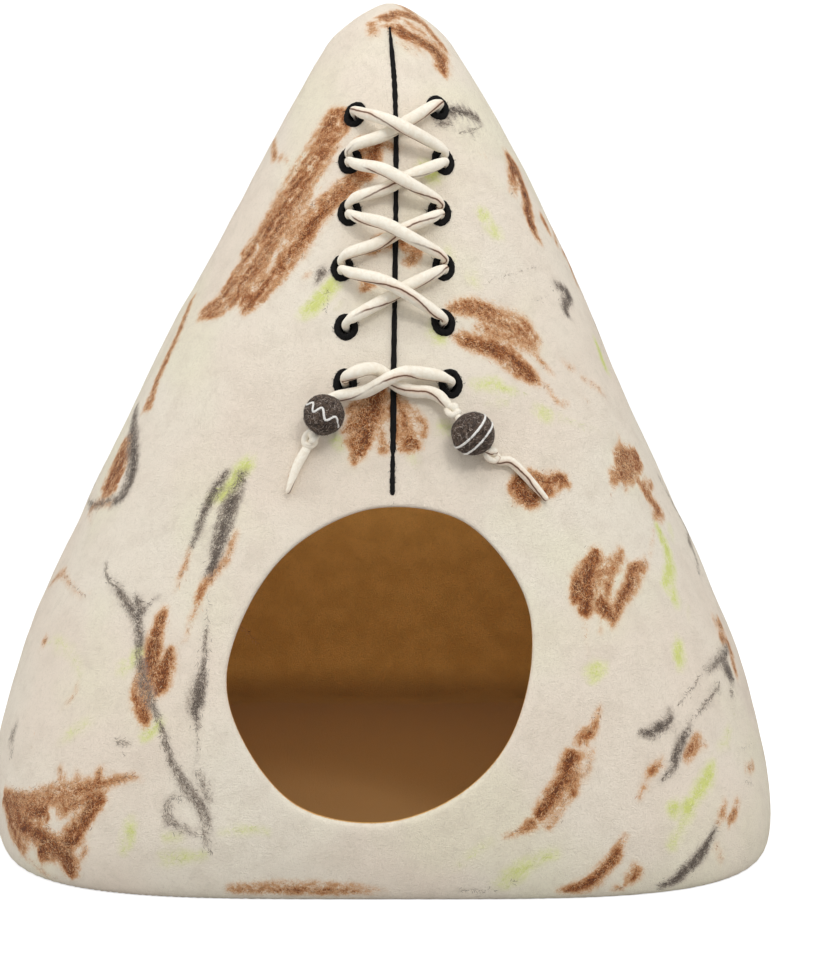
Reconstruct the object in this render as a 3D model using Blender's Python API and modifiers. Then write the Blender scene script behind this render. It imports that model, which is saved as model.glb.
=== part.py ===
"""Felt cat cave: a tipi-shaped pet bed of wet-felted wool, laced with felt cord above its entrance.

Metres, +Z up. The origin is on the floor under the middle of the base, and the entrance faces -Y.
"""
import math

import bmesh
import bpy
from mathutils import Matrix, Vector

# Driving dimensions.
TOTAL_HEIGHT = 0.600
WALL_THICKNESS = 0.008
BASE_EDGE_RISE = 0.058
BASE_EDGE_INSET = 0.0145
TIP_RISE = 0.030
LACE_THICKNESS = 0.009
GAP = 0.0004  # between pieces that touch on the real object
WELD_DISTANCE = 0.00001
SLOPE_STEP = 0.001  # how far apart the wall is read to find which way it faces

# The outline of the shell at each height. A squareness of 2 is an ellipse, and more is a rounded
# rectangle. The shift moves the outline sideways, as the hand-felted wall leans a little.
SECTION_COLUMNS = ("height", "half_width", "depth_ratio", "shift", "squareness")
SECTIONS = (
    (0.000, 0.2885, 0.90, 0.0025, 3.95),
    (0.060, 0.2825, 0.90, -0.0015, 3.30),
    (0.120, 0.2695, 0.90, -0.0015, 2.78),
    (0.180, 0.2455, 0.90, -0.0015, 2.52),
    (0.240, 0.2170, 0.91, -0.0010, 2.44),
    (0.300, 0.1885, 0.92, -0.0005, 2.40),
    (0.360, 0.1605, 0.93, 0.0015, 2.26),
    (0.420, 0.1300, 0.94, 0.0050, 2.15),
    (0.480, 0.0990, 0.96, 0.0065, 2.08),
    (0.540, 0.0650, 0.98, 0.0060, 2.03),
    (0.600, 0.0255, 1.00, 0.0055, 2.00),
)
RING_HEIGHTS = (
    0.000, 0.004, 0.013, 0.027, 0.045, 0.065, 0.092, 0.122, 0.152, 0.184, 0.217, 0.250,
    0.284, 0.318, 0.352, 0.386, 0.420, 0.453, 0.486, 0.517, 0.545, 0.567, 0.582, 0.592, 0.598,
)
RING_SEGMENTS = 64
SIDE_LIMIT = 0.999  # a place on the front wall stays just inside the outline's side

# Places on the front wall are given by how far they lie across (along X) and by their height.
# The entrance, columns across and height, clockwise from the right.
ENTRANCE_OUTLINE = (
    (0.0990, 0.156), (0.0920, 0.201), (0.0540, 0.243), (-0.0020, 0.252),
    (-0.0515, 0.232), (-0.0845, 0.196), (-0.1025, 0.146), (-0.0895, 0.103),
    (-0.0545, 0.0645), (-0.0020, 0.0540), (0.0470, 0.0700), (0.0825, 0.105),
)
ENTRANCE_STEPS = 4
ENTRANCE_CUT_FRONT = -0.35
ENTRANCE_CUT_BACK = -0.08

# The yarn line on the front, columns across and height, from the tip down.
FRONT_LINE = (
    (0.0058, 0.5755), (0.0067, 0.567), (0.0084, 0.545), (0.0096, 0.517), (0.0098, 0.486),
    (0.0097, 0.453), (0.0092, 0.420), (0.0087, 0.386), (0.0081, 0.352), (0.0076, 0.318),
    (0.0072, 0.284), (0.0070, 0.262),
)
FRONT_LINE_WIDTH = 0.0036
FRONT_LINE_THICKNESS = 0.0012

# The lace holes, columns across and height, in six pairs from the top down.
EYELETS = {
    "l1": (-0.0190, 0.5160), "r1": (0.0395, 0.5210),
    "l2": (-0.0225, 0.4835), "r2": (0.0430, 0.4830),
    "l3": (-0.0225, 0.4475), "r3": (0.0400, 0.4475),
    "l4": (-0.0275, 0.4095), "r4": (0.0425, 0.4100),
    "l5": (-0.0245, 0.3700), "r5": (0.0420, 0.3730),
    "l6": (-0.0250, 0.3330), "r6": (0.0465, 0.3325),
}
HOLE_HALF_WIDTH = 0.0047
HOLE_HALF_HEIGHT = 0.0070
HOLE_SIDES = 12
HOLE_CUT_LENGTH = 4 * WALL_THICKNESS
RING_HALF_WIDTH = 0.0062
RING_HALF_HEIGHT = 0.0080
RING_YARN = 0.0026
RING_POINTS = 12

# The lace is one cord. Its two halves meet behind the top pair of eyelets, and each crosses the
# front four times. In these tables girth is the cord's local thickness over its full thickness.
LEFT_CROSSINGS = (("l1", "r2"), ("l2", "r3"), ("l3", "r4"), ("l4", "r5"))
RIGHT_CROSSINGS = (("r1", "l2"), ("r2", "l3"), ("r3", "l4"), ("r4", "l5"))
SHARED_ROWS = "234"
SHARED_HOLE_SPREAD = 0.0029

# The lace through an eyelet, from behind the wall to the front, columns away from the eyelet's
# middle, lift off the wall and girth. It runs straight in the hole and then bends over the ring.
EYELET_PASS_STRAIGHT = (
    (0.0000, -0.0105, 0.60),
    (0.0000, -0.0030, 0.60),
    (0.0000, 0.0046, 0.60),
)
EYELET_PASS_BEND = (
    (0.0022, 0.0084, 0.62),
    (0.0085, 0.0096, 0.90),
)

# The bars of the lace behind the wall. Those of the left half lie nearer to the wall.
BAR_GIRTH = 0.78
TOP_BAR_DEPTH = 0.0135
TOP_BAR_MIDDLE_DEPTH = 0.0160
TOP_BAR_GAP = 0.0010
LEFT_BAR_BEND = 0.006
LEFT_BAR_DEPTH = 0.0135
RIGHT_BAR_BEND = 0.002
RIGHT_BAR_DEPTH = 0.0215
LEFT_CROSSING_LIFT = 0.0170
RIGHT_CROSSING_LIFT = 0.0072
CROSSING_LENGTH = 0.018

# The half knot between the sixth pair of eyelets, the bead, the knots beside it and the free tail,
# columns across, height, lift and girth.
LEFT_TIE = (
    (0.0430, 0.3335, 0.0080, 0.66),
    (0.0385, 0.3350, 0.0088, 0.88),
    (0.0320, 0.3368, 0.0074, 1.00),
    (0.0230, 0.3375, 0.0090, 1.00),
    (0.0145, 0.3360, 0.0146, 1.00),
    (0.0065, 0.3324, 0.0174, 1.00),
    (-0.0013, 0.3288, 0.0146, 1.00),
    (-0.0086, 0.3262, 0.0094, 1.00),
    (-0.0160, 0.3246, 0.0072, 1.00),
    (-0.0233, 0.3234, 0.0074, 0.95),
    (-0.0297, 0.3220, 0.0088, 0.85),
    (-0.0339, 0.3195, 0.0115, 0.70),
    (-0.0358, 0.3150, 0.0140, 0.60),
    (-0.0376, 0.3086, 0.0143, 0.60),
    (-0.0418, 0.3020, 0.0125, 0.60),
    (-0.0472, 0.2952, 0.0062, 1.10),
    (-0.0500, 0.2893, 0.0042, 0.70),
    (-0.0530, 0.2840, 0.0042, 0.74),
    (-0.0564, 0.2778, 0.0042, 0.70),
    (-0.0596, 0.2695, 0.0038, 0.58),
    (-0.0623, 0.2619, 0.0032, 0.40),
)
RIGHT_TIE = (
    (-0.0246, 0.3332, 0.0100, 0.66),
    (-0.0224, 0.3336, 0.0152, 0.84),
    (-0.0168, 0.3356, 0.0168, 1.00),
    (-0.0104, 0.3382, 0.0146, 1.00),
    (-0.0040, 0.3392, 0.0106, 1.00),
    (0.0022, 0.3366, 0.0074, 1.00),
    (0.0074, 0.3320, 0.0066, 1.00),
    (0.0140, 0.3280, 0.0060, 1.00),
    (0.0220, 0.3262, 0.0052, 1.00),
    (0.0306, 0.3256, 0.0056, 1.00),
    (0.0377, 0.3225, 0.0070, 0.95),
    (0.0427, 0.3170, 0.0085, 0.72),
    (0.0462, 0.3120, 0.0090, 1.10),
    (0.0512, 0.3046, 0.0138, 0.60),
    (0.0583, 0.2956, 0.0151, 0.60),
    (0.0652, 0.2888, 0.0130, 0.60),
    (0.0718, 0.2836, 0.0068, 1.05),
    (0.0776, 0.2806, 0.0046, 0.70),
    (0.0857, 0.2794, 0.0046, 0.72),
    (0.0944, 0.2714, 0.0042, 0.70),
    (0.1025, 0.2627, 0.0038, 0.62),
    (0.1094, 0.2554, 0.0032, 0.45),
)
SMOOTH_STEPS = 8
MOST_TURN = math.radians(36)
MOST_STEP = 0.018
MOST_GIRTH_CHANGE = 0.30

# The beads, columns across, height, lift and radius.
LEFT_BEAD = (-0.0376, 0.3086, 0.0143, 0.0137)
RIGHT_BEAD = (0.0583, 0.2956, 0.0151, 0.0145)
BEAD_SEGMENTS = 16
BEAD_RINGS = 10
BORE_CLEARANCE = 0.0007
BORE_REACH = 2.0  # in bead radii, how far the lace is followed to cut the bore

CREAM_FELT = (0.72, 0.66, 0.56)
CORD_FELT = (0.62, 0.50, 0.36)
BLACK_YARN = (0.012, 0.011, 0.012)
GREY_FELT = (0.060, 0.045, 0.040)


# ---- The shell's form ----

def section_value(name, height):
    """Read one column of the section table at a height, as a smooth curve through its rows."""
    column = SECTION_COLUMNS.index(name)
    heights = [row[0] for row in SECTIONS]
    values = [row[column] for row in SECTIONS]
    last = len(SECTIONS) - 2
    start = min(max(sum(1 for h in heights if h <= height) - 1, 0), last)
    span = heights[start + 1] - heights[start]

    def slope(index):
        low, high = max(index - 1, 0), min(index + 1, last + 1)
        return (values[high] - values[low]) / (heights[high] - heights[low])

    t = (height - heights[start]) / span
    rise = values[start + 1] - values[start]
    s0, s1 = slope(start) * span, slope(start + 1) * span
    return values[start] + s0 * t + (3 * rise - 2 * s0 - s1) * t ** 2 + (s0 + s1 - 2 * rise) * t ** 3


def half_sizes(height):
    """Half width and half depth of the shell at a height, with the rounded base edge and tip."""
    below = max(BASE_EDGE_RISE - height, 0.0) / BASE_EDGE_RISE
    inset = BASE_EDGE_INSET * (1 - math.sqrt(1 - below ** 2))
    above = max(height - (TOTAL_HEIGHT - TIP_RISE), 0.0) / TIP_RISE
    closing = math.sqrt(max(1 - above ** 2, 0.0))
    half_width = section_value("half_width", height)
    half_depth = half_width * section_value("depth_ratio", height)
    return (half_width - inset) * closing, (half_depth - inset) * closing


def outline_point(angle, height):
    """The point of the shell's outer surface at an angle round the vertical axis."""
    half_width, half_depth = half_sizes(height)
    power = section_value("squareness", height)
    along_x = abs(math.cos(angle) / half_width) ** power
    along_y = abs(math.sin(angle) / half_depth) ** power
    radius = (along_x + along_y) ** (-1 / power)
    shift = section_value("shift", height)
    return Vector((radius * math.cos(angle) + shift, radius * math.sin(angle), height))


def front_surface(across, height):
    """The point of the shell's outer front surface at a place."""
    half_width, half_depth = half_sizes(height)
    power = section_value("squareness", height)
    side = min(abs(across - section_value("shift", height)) / half_width, SIDE_LIMIT)
    return Vector((across, -half_depth * (1 - side ** power) ** (1 / power), height))


def wall_frame(across, height):
    """A place on the front wall: its point, and unit axes to the right, up the wall and outwards."""
    step = SLOPE_STEP
    right = front_surface(across + step, height) - front_surface(across - step, height)
    upwards = front_surface(across, height + step) - front_surface(across, height - step)
    out = right.cross(upwards).normalized()
    right.normalize()
    return front_surface(across, height), right, out.cross(right), out


def wall_point(across, height, lift):
    """The point at a distance, lift, in front of a place on the wall."""
    point, _, _, out = wall_frame(across, height)
    return point + out * lift


# ---- Objects and materials ----

def clear_scene():
    for thing in list(bpy.data.objects):
        bpy.data.objects.remove(thing, do_unlink=True)


def make_collection(name):
    collection = bpy.data.collections.new(name)
    bpy.context.scene.collection.children.link(collection)
    return collection


def make_material(name, colour, roughness):
    material = bpy.data.materials.new(name)
    material.use_nodes = True
    shader = material.node_tree.nodes["Principled BSDF"]
    shader.inputs["Base Color"].default_value = (*colour, 1.0)
    shader.inputs["Roughness"].default_value = roughness
    shader.inputs["Metallic"].default_value = 0.0
    return material


def add_object(name, data, collection, material=None):
    thing = bpy.data.objects.new(name, data)
    collection.objects.link(thing)
    if material:
        data.materials.append(material)
    return thing


def mesh_from(bm, name, smooth_angle=40):
    """Turn a bmesh into a mesh with its faces pointing out, shaded smooth up to an angle."""
    bmesh.ops.recalc_face_normals(bm, faces=bm.faces)
    mesh = bpy.data.meshes.new(name)
    bm.to_mesh(mesh)
    bm.free()
    mesh.shade_smooth()
    mesh.set_sharp_from_angle(angle=math.radians(smooth_angle))
    return mesh


def add_cutter(name, mesh, collection):
    cutter = add_object(name, mesh, collection)
    cutter.hide_render = True
    cutter.display_type = "WIRE"
    return cutter


def cut(thing, cutter):
    modifier = thing.modifiers.new(cutter.name, "BOOLEAN")
    modifier.operation = "DIFFERENCE"
    modifier.object = cutter


# ---- Felt shell ----

def shell_mesh():
    """The closed outer surface: a loft through the outlines, a flat base and the rounded tip."""
    bm = bmesh.new()
    rings = []
    for height in RING_HEIGHTS:
        angles = [2 * math.pi * i / RING_SEGMENTS for i in range(RING_SEGMENTS)]
        rings.append([bm.verts.new(outline_point(angle, height)) for angle in angles])
    tip = bm.verts.new((section_value("shift", TOTAL_HEIGHT), 0.0, TOTAL_HEIGHT))
    for lower, upper in zip(rings, rings[1:]):
        for i in range(RING_SEGMENTS):
            j = (i + 1) % RING_SEGMENTS
            bm.faces.new((lower[i], lower[j], upper[j], upper[i]))
    for i in range(RING_SEGMENTS):
        bm.faces.new((rings[-1][i], rings[-1][(i + 1) % RING_SEGMENTS], tip))
    bm.faces.new(list(reversed(rings[0])))
    return mesh_from(bm, "felt_shell")


def closed_curve(points, steps):
    """Points along a smooth closed curve through the given ones."""
    count = len(points)
    result = []
    for i in range(count):
        before, start, end, after = (Vector(points[(i + k) % count]) for k in (-1, 0, 1, 2))
        result += [spline_between(before, start, end, after, s / steps) for s in range(steps)]
    return result


def spline_between(before, start, end, after, t):
    """A point between start and end on the smooth curve that also heeds their neighbours."""
    slope_start, slope_end = (end - before) / 2, (after - start) / 2
    rise = end - start
    bend = 3 * rise - 2 * slope_start - slope_end
    return start + slope_start * t + bend * t ** 2 + (slope_start + slope_end - 2 * rise) * t ** 3


def entrance_cutter_mesh():
    """The entrance as a prism that runs through the front wall only."""
    bm = bmesh.new()
    outline = closed_curve(ENTRANCE_OUTLINE, ENTRANCE_STEPS)
    rim = [bm.verts.new((point.x, ENTRANCE_CUT_FRONT, point.y)) for point in outline]
    extruded = bmesh.ops.extrude_face_region(bm, geom=[bm.faces.new(rim)])["geom"]
    moved = [element for element in extruded if isinstance(element, bmesh.types.BMVert)]
    length = ENTRANCE_CUT_BACK - ENTRANCE_CUT_FRONT
    bmesh.ops.translate(bm, verts=moved, vec=(0.0, length, 0.0))
    return mesh_from(bm, "entrance_cutter")


def eyelet_cutter_mesh():
    """One oval plug through the wall at each eyelet."""
    bm = bmesh.new()
    for across, height in EYELETS.values():
        point, right, up, out = wall_frame(across, height)
        columns = (right * HOLE_HALF_WIDTH, up * HOLE_HALF_HEIGHT, out * HOLE_CUT_LENGTH)
        placing = Matrix(columns).transposed().to_4x4()
        placing.translation = point
        bmesh.ops.create_cone(
            bm, cap_ends=True, segments=HOLE_SIDES, radius1=1.0, radius2=1.0, depth=1.0,
            matrix=placing,
        )
    return mesh_from(bm, "eyelet_cutter")


def build_shell(collection, cutters, material):
    shell = add_object("felt_shell", shell_mesh(), collection, material)
    wall = shell.modifiers.new("wall", "SOLIDIFY")
    wall.thickness = WALL_THICKNESS
    wall.offset = -1.0
    wall.use_even_offset = True
    wall.use_quality_normals = True
    cut(shell, add_cutter("entrance_cutter", entrance_cutter_mesh(), cutters))
    cut(shell, add_cutter("eyelet_cutter", eyelet_cutter_mesh(), cutters))
    return shell


# ---- Yarn rings and front line ----

def make_tube(name, points, thickness, girths=None, sides_level=1, closed=False):
    """A round tube along the points, as a curve with a bevel."""
    curve = bpy.data.curves.new(name, "CURVE")
    curve.dimensions = "3D"
    curve.bevel_depth = thickness / 2
    curve.bevel_resolution = sides_level
    curve.use_fill_caps = not closed
    spline = curve.splines.new("POLY")
    spline.points.add(len(points) - 1)
    spline.use_cyclic_u = closed
    for i, point in enumerate(points):
        spline.points[i].co = (*point, 1.0)
        spline.points[i].radius = girths[i] if girths else 1.0
    return curve


def build_ring(name, across, height, collection, material):
    """A ring of yarn that lies on the wall round one eyelet."""
    points = []
    lift = RING_YARN / 2 + GAP
    _, right, up, _ = wall_frame(across, height)
    for i in range(RING_POINTS):
        angle = 2 * math.pi * i / RING_POINTS
        offset = right * RING_HALF_WIDTH * math.cos(angle) + up * RING_HALF_HEIGHT * math.sin(angle)
        points.append(wall_point(across + offset.x, height + offset.z, lift))
    curve = make_tube("eyelet_ring_" + name, points, RING_YARN, closed=True)
    return add_object(curve.name, curve, collection, material)


def build_front_line(collection, material):
    """The flat strand of black yarn from the tip to the entrance."""
    edge = FRONT_LINE_THICKNESS / 2
    lift = edge + GAP
    points = [wall_point(across, height, lift) for across, height in FRONT_LINE]
    curve = make_tube("front_line", points, FRONT_LINE_THICKNESS)
    curve.extrude = FRONT_LINE_WIDTH / 2 - edge
    curve.twist_mode = "Z_UP"
    for point in curve.splines[0].points:
        point.tilt = math.pi / 2
    return add_object(curve.name, curve, collection, material)


# ---- Lace ----

def hole_level(name, way):
    """How far above the middle of an eyelet the lace passes: a shared eyelet holds two strands."""
    if name[1] not in SHARED_ROWS:
        return 0.0
    return SHARED_HOLE_SPREAD if way == "in" else -SHARED_HOLE_SPREAD


def eyelet_pass(name, towards, way):
    """Rows of the lace from behind an eyelet to its front, where it heads for another place."""
    across, height = EYELETS[name]
    heading = (Vector(towards) - Vector((across, height))).normalized()
    height += hole_level(name, way)
    return [
        (across + heading.x * away, height + heading.y * away, lift, girth)
        for away, lift, girth in EYELET_PASS_STRAIGHT + EYELET_PASS_BEND
    ]


def hidden_bar(start, end, bend, depth):
    """Rows of the lace behind the wall, from under one eyelet row to under another."""
    start, end = Vector(start), Vector(end)
    heading = (end - start).normalized() * bend
    return [
        (place.x, place.y, -depth, BAR_GIRTH)
        for place in (start + heading, (start + end) / 2, end - heading)
    ]


def lace_rows(crossings, last, tie, bar_bend, bar_depth, crossing_lift):
    """All rows of one half of the lace, from the middle of the top bar to the end of its tail."""
    middle = Vector(EYELETS["l1"]).lerp(Vector(EYELETS["r1"]), 0.5)
    first = Vector(EYELETS[crossings[0][0]])
    heading = (first - middle).normalized()
    start, under = middle + heading * TOP_BAR_GAP / 2, first - heading * LEFT_BAR_BEND
    rows = [
        (start.x, start.y, -TOP_BAR_MIDDLE_DEPTH, BAR_GIRTH),
        (under.x, under.y, -TOP_BAR_DEPTH, BAR_GIRTH),
    ]
    leaving_names = [pair[0] for pair in crossings[1:]] + [last]
    for (leaving, entering), following in zip(crossings, leaving_names):
        start, end = Vector(EYELETS[leaving]), Vector(EYELETS[entering])
        rows += eyelet_pass(leaving, end, "out")
        half_step = (end - start).normalized() * CROSSING_LENGTH / 2
        for place in ((start + end) / 2 - half_step, (start + end) / 2 + half_step):
            rows.append((place.x, place.y, crossing_lift, 1.0))
        rows += reversed(eyelet_pass(entering, start, "in"))
        under = Vector(EYELETS[following]) + Vector((0.0, hole_level(following, "out")))
        rows += hidden_bar(rows[-1][:2], under, bar_bend, bar_depth)
    rows += eyelet_pass(last, tie[0][:2], "out")[:len(EYELET_PASS_STRAIGHT)]
    return rows + list(tie)


def smooth_lace(rows):
    """Points and girths along the smooth curve through the rows, close together."""
    stations = [Vector((*wall_point(*row[:3]), row[3])) for row in rows]
    ends = [2 * stations[0] - stations[1]] + stations + [2 * stations[-1] - stations[-2]]
    samples = []
    for before, start, end, after in zip(ends, ends[1:], ends[2:], ends[3:]):
        samples += [
            spline_between(before, start, end, after, s / SMOOTH_STEPS) for s in range(SMOOTH_STEPS)
        ]
    samples.append(stations[-1])
    return [(sample.xyz, sample.w) for sample in samples]


def thin_out(samples):
    """Keep the samples that a bend, a change of girth or a long straight run needs."""
    kept = [samples[0]]
    turned = travelled = 0.0
    for (before, _), (here, girth), (after, _) in zip(samples, samples[1:], samples[2:]):
        turned += (here - before).angle(after - here, 0.0)
        travelled += (here - before).length
        changed = abs(girth - kept[-1][1])
        if turned > MOST_TURN or travelled > MOST_STEP or changed > MOST_GIRTH_CHANGE:
            kept.append((here, girth))
            turned = travelled = 0.0
    return kept + [samples[-1]]


def build_lace(name, rows, collection, material):
    """One half of the lace. It returns the places and girths that the tube follows."""
    kept = thin_out(smooth_lace(rows))
    points, girths = [place for place, _ in kept], [girth for _, girth in kept]
    curve = make_tube(name, points, LACE_THICKNESS, girths, sides_level=2)
    add_object(name, curve, collection, material)
    return kept


# ---- Beads ----

def bore_mesh(name, kept):
    """A closed tube a little wider than the lace, along the stretch that passes through a bead."""
    girths = [girth + 2 * BORE_CLEARANCE / LACE_THICKNESS for _, girth in kept]
    curve = make_tube(name, [place for place, _ in kept], LACE_THICKNESS, girths, sides_level=2)
    tube = add_object(name, curve, bpy.context.scene.collection)
    evaluated = tube.evaluated_get(bpy.context.evaluated_depsgraph_get())
    mesh = bpy.data.meshes.new_from_object(evaluated)
    bpy.data.objects.remove(tube)
    bm = bmesh.new()
    bm.from_mesh(mesh)
    bmesh.ops.remove_doubles(bm, verts=bm.verts, dist=WELD_DISTANCE)
    return mesh_from(bm, name)


def build_bead(name, row, lace, collection, cutters, material):
    """A felt ball on the lace, bored along the lace's own path."""
    across, height, lift, radius = row
    centre = wall_point(across, height, lift)
    bm = bmesh.new()
    bmesh.ops.create_uvsphere(
        bm, u_segments=BEAD_SEGMENTS, v_segments=BEAD_RINGS, radius=radius,
        matrix=Matrix.Translation(centre),
    )
    bead = add_object(name, mesh_from(bm, name), collection, material)
    inside = [sample for sample in lace if (sample[0] - centre).length < BORE_REACH * radius]
    cut(bead, add_cutter(name + "_bore", bore_mesh(name + "_bore", inside), cutters))


# ---- The whole object ----

def build():
    clear_scene()
    parts = make_collection("felt_cat_cave")
    cutters = make_collection("cutters")
    cutters.hide_render = True
    yarn = make_material("black_yarn", BLACK_YARN, 0.95)
    cord = make_material("lace_felt", CORD_FELT, 0.92)
    grey = make_material("bead_felt", GREY_FELT, 0.95)
    build_shell(parts, cutters, make_material("cream_felt", CREAM_FELT, 0.95))
    build_front_line(parts, yarn)
    for name, (across, height) in EYELETS.items():
        build_ring(name, across, height, parts, yarn)
    left = lace_rows(
        LEFT_CROSSINGS, "r6", LEFT_TIE, LEFT_BAR_BEND, LEFT_BAR_DEPTH, LEFT_CROSSING_LIFT,
    )
    right = lace_rows(
        RIGHT_CROSSINGS, "l6", RIGHT_TIE, RIGHT_BAR_BEND, RIGHT_BAR_DEPTH, RIGHT_CROSSING_LIFT,
    )
    left_lace = build_lace("lace_left", left, parts, cord)
    right_lace = build_lace("lace_right", right, parts, cord)
    build_bead("bead_left", LEFT_BEAD, left_lace, parts, cutters, grey)
    build_bead("bead_right", RIGHT_BEAD, right_lace, parts, cutters, grey)


build()
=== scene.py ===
"""Felt cat cave: a tipi of wet-felted wool, laced with felt cord above its round entrance."""
import math

import bmesh
import bpy
import numpy as np
from mathutils import Matrix, Vector, noise
from mathutils.bvhtree import BVHTree
from mathutils.kdtree import KDTree


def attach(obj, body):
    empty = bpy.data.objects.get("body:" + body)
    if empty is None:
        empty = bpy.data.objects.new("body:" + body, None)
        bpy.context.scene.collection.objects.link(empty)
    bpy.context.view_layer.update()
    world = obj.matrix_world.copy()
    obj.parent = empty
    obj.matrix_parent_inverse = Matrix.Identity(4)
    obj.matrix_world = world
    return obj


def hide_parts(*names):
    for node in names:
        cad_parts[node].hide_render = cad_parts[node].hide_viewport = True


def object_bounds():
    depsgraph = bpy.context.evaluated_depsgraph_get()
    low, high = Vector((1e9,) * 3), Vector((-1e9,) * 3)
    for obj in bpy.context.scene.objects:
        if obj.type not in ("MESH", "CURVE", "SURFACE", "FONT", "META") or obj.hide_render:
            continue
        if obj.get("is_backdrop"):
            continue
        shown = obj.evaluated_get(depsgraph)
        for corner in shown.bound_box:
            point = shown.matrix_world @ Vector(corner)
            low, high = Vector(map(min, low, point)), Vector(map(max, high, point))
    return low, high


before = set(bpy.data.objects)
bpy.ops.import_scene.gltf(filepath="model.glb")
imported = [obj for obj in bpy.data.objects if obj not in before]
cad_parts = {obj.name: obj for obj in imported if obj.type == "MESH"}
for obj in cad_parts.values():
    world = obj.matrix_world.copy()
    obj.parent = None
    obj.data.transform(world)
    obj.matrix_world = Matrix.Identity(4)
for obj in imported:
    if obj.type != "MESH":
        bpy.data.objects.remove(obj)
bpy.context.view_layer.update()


# ---- Felted shell ----
# One seamless bag of wet-felted sheep's wool, about 8 mm thick. It was felted round a flat former,
# cut open for the entrance and blocked into a soft-cornered tipi. The cut edge was rubbed round,
# and the hollow is lined with a layer of brown wool.

TOTAL_HEIGHT = 0.600
WALL_THICKNESS = 0.008
BASE_EDGE_RISE = 0.058
BASE_EDGE_INSET = 0.0145
TIP_RISE = 0.030
SECTION_COLUMNS = ("height", "half_width", "depth_ratio", "shift", "squareness")
SECTIONS = np.array((
    (0.000, 0.2885, 0.90, 0.0025, 3.95),
    (0.060, 0.2825, 0.90, -0.0015, 3.30),
    (0.120, 0.2695, 0.90, -0.0015, 2.78),
    (0.180, 0.2455, 0.90, -0.0015, 2.52),
    (0.240, 0.2170, 0.91, -0.0010, 2.44),
    (0.300, 0.1885, 0.92, -0.0005, 2.40),
    (0.360, 0.1605, 0.93, 0.0015, 2.26),
    (0.420, 0.1300, 0.94, 0.0050, 2.15),
    (0.480, 0.0990, 0.96, 0.0065, 2.08),
    (0.540, 0.0650, 0.98, 0.0060, 2.03),
    (0.600, 0.0255, 1.00, 0.0055, 2.00),
))


def section_value(name, height):
    """One column of the section table at some heights, as a smooth curve through its rows."""
    heights, values = SECTIONS[:, 0], SECTIONS[:, SECTION_COLUMNS.index(name)]
    slopes = np.empty(len(values))
    slopes[1:-1] = (values[2:] - values[:-2]) / (heights[2:] - heights[:-2])
    slopes[0] = (values[1] - values[0]) / (heights[1] - heights[0])
    slopes[-1] = (values[-1] - values[-2]) / (heights[-1] - heights[-2])
    i = np.clip(np.searchsorted(heights, height, side="right") - 1, 0, len(values) - 2)
    span = heights[i + 1] - heights[i]
    t = (height - heights[i]) / span
    rise = values[i + 1] - values[i]
    s0, s1 = slopes[i] * span, slopes[i + 1] * span
    return values[i] + s0 * t + (3 * rise - 2 * s0 - s1) * t ** 2 + (s0 + s1 - 2 * rise) * t ** 3


def half_sizes(height):
    """Half width and half depth at some heights, with the rounded base edge and tip."""
    below = np.clip((BASE_EDGE_RISE - height) / BASE_EDGE_RISE, 0, 1)
    inset = BASE_EDGE_INSET * (1 - np.sqrt(1 - below ** 2))
    above = np.clip((height - (TOTAL_HEIGHT - TIP_RISE)) / TIP_RISE, 0, 1)
    closing = np.sqrt(np.maximum(1 - above ** 2, 1e-9))
    half_width = section_value("half_width", height)
    half_depth = half_width * section_value("depth_ratio", height)
    return (half_width - inset) * closing, (half_depth - inset) * closing


def inside_form(points):
    """Whether points lie inside the shell's outer form."""
    height = np.clip(points[..., 2], 0, TOTAL_HEIGHT)
    half_width, half_depth = half_sizes(height)
    power = section_value("squareness", height)
    along_x = np.abs((points[..., 0] - section_value("shift", height)) / half_width) ** power
    along_y = np.abs(points[..., 1] / half_depth) ** power
    within = (points[..., 2] > 0) & (points[..., 2] < TOTAL_HEIGHT)
    return within & (along_x + along_y < 1)


def front_point(across, height):
    """The point of the outer front surface at a place."""
    half_width, half_depth = half_sizes(height)
    power = section_value("squareness", height)
    side = np.minimum(np.abs(across - section_value("shift", height)) / half_width, 0.999)
    return np.stack([across, -half_depth * (1 - side ** power) ** (1 / power), height], -1)


# The shell grows in loops from the rim of the entrance to the middle of the back. Its directions
# are read from the middle of the hollow.
MERIDIANS, LOOPS, LINING_LOOPS = 336, 206, 54
HOLLOW_MIDDLE = np.array((-0.0015, 0.030, 0.190))
ENTRANCE_MIDDLE = np.array((-0.0015, -0.226, 0.153))
ENTRANCE_OUTLINE = (
    (0.0990, 0.156), (0.0920, 0.201), (0.0540, 0.243), (-0.0020, 0.252),
    (-0.0515, 0.232), (-0.0845, 0.196), (-0.1025, 0.146), (-0.0895, 0.103),
    (-0.0545, 0.0645), (-0.0020, 0.0540), (0.0470, 0.0700), (0.0825, 0.105),
)
RIM_WIDTH = 0.006  # from the rim to the first loop
RIM_ROUNDING = 0.0037
LOOP_GROWTH = 0.50  # how much wider the loops are at the back than the mean
LINING_LOOP_GROWTH = 0.10
LUMPS = ((0.0009, 22, (0, 0, 0)), (0.00035, 62, (7, 3, 1)))  # height, how many in a metre, where they start
EVEN_RIM_LOOPS = 6
EVEN_BASE_HEIGHT = 0.03


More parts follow.
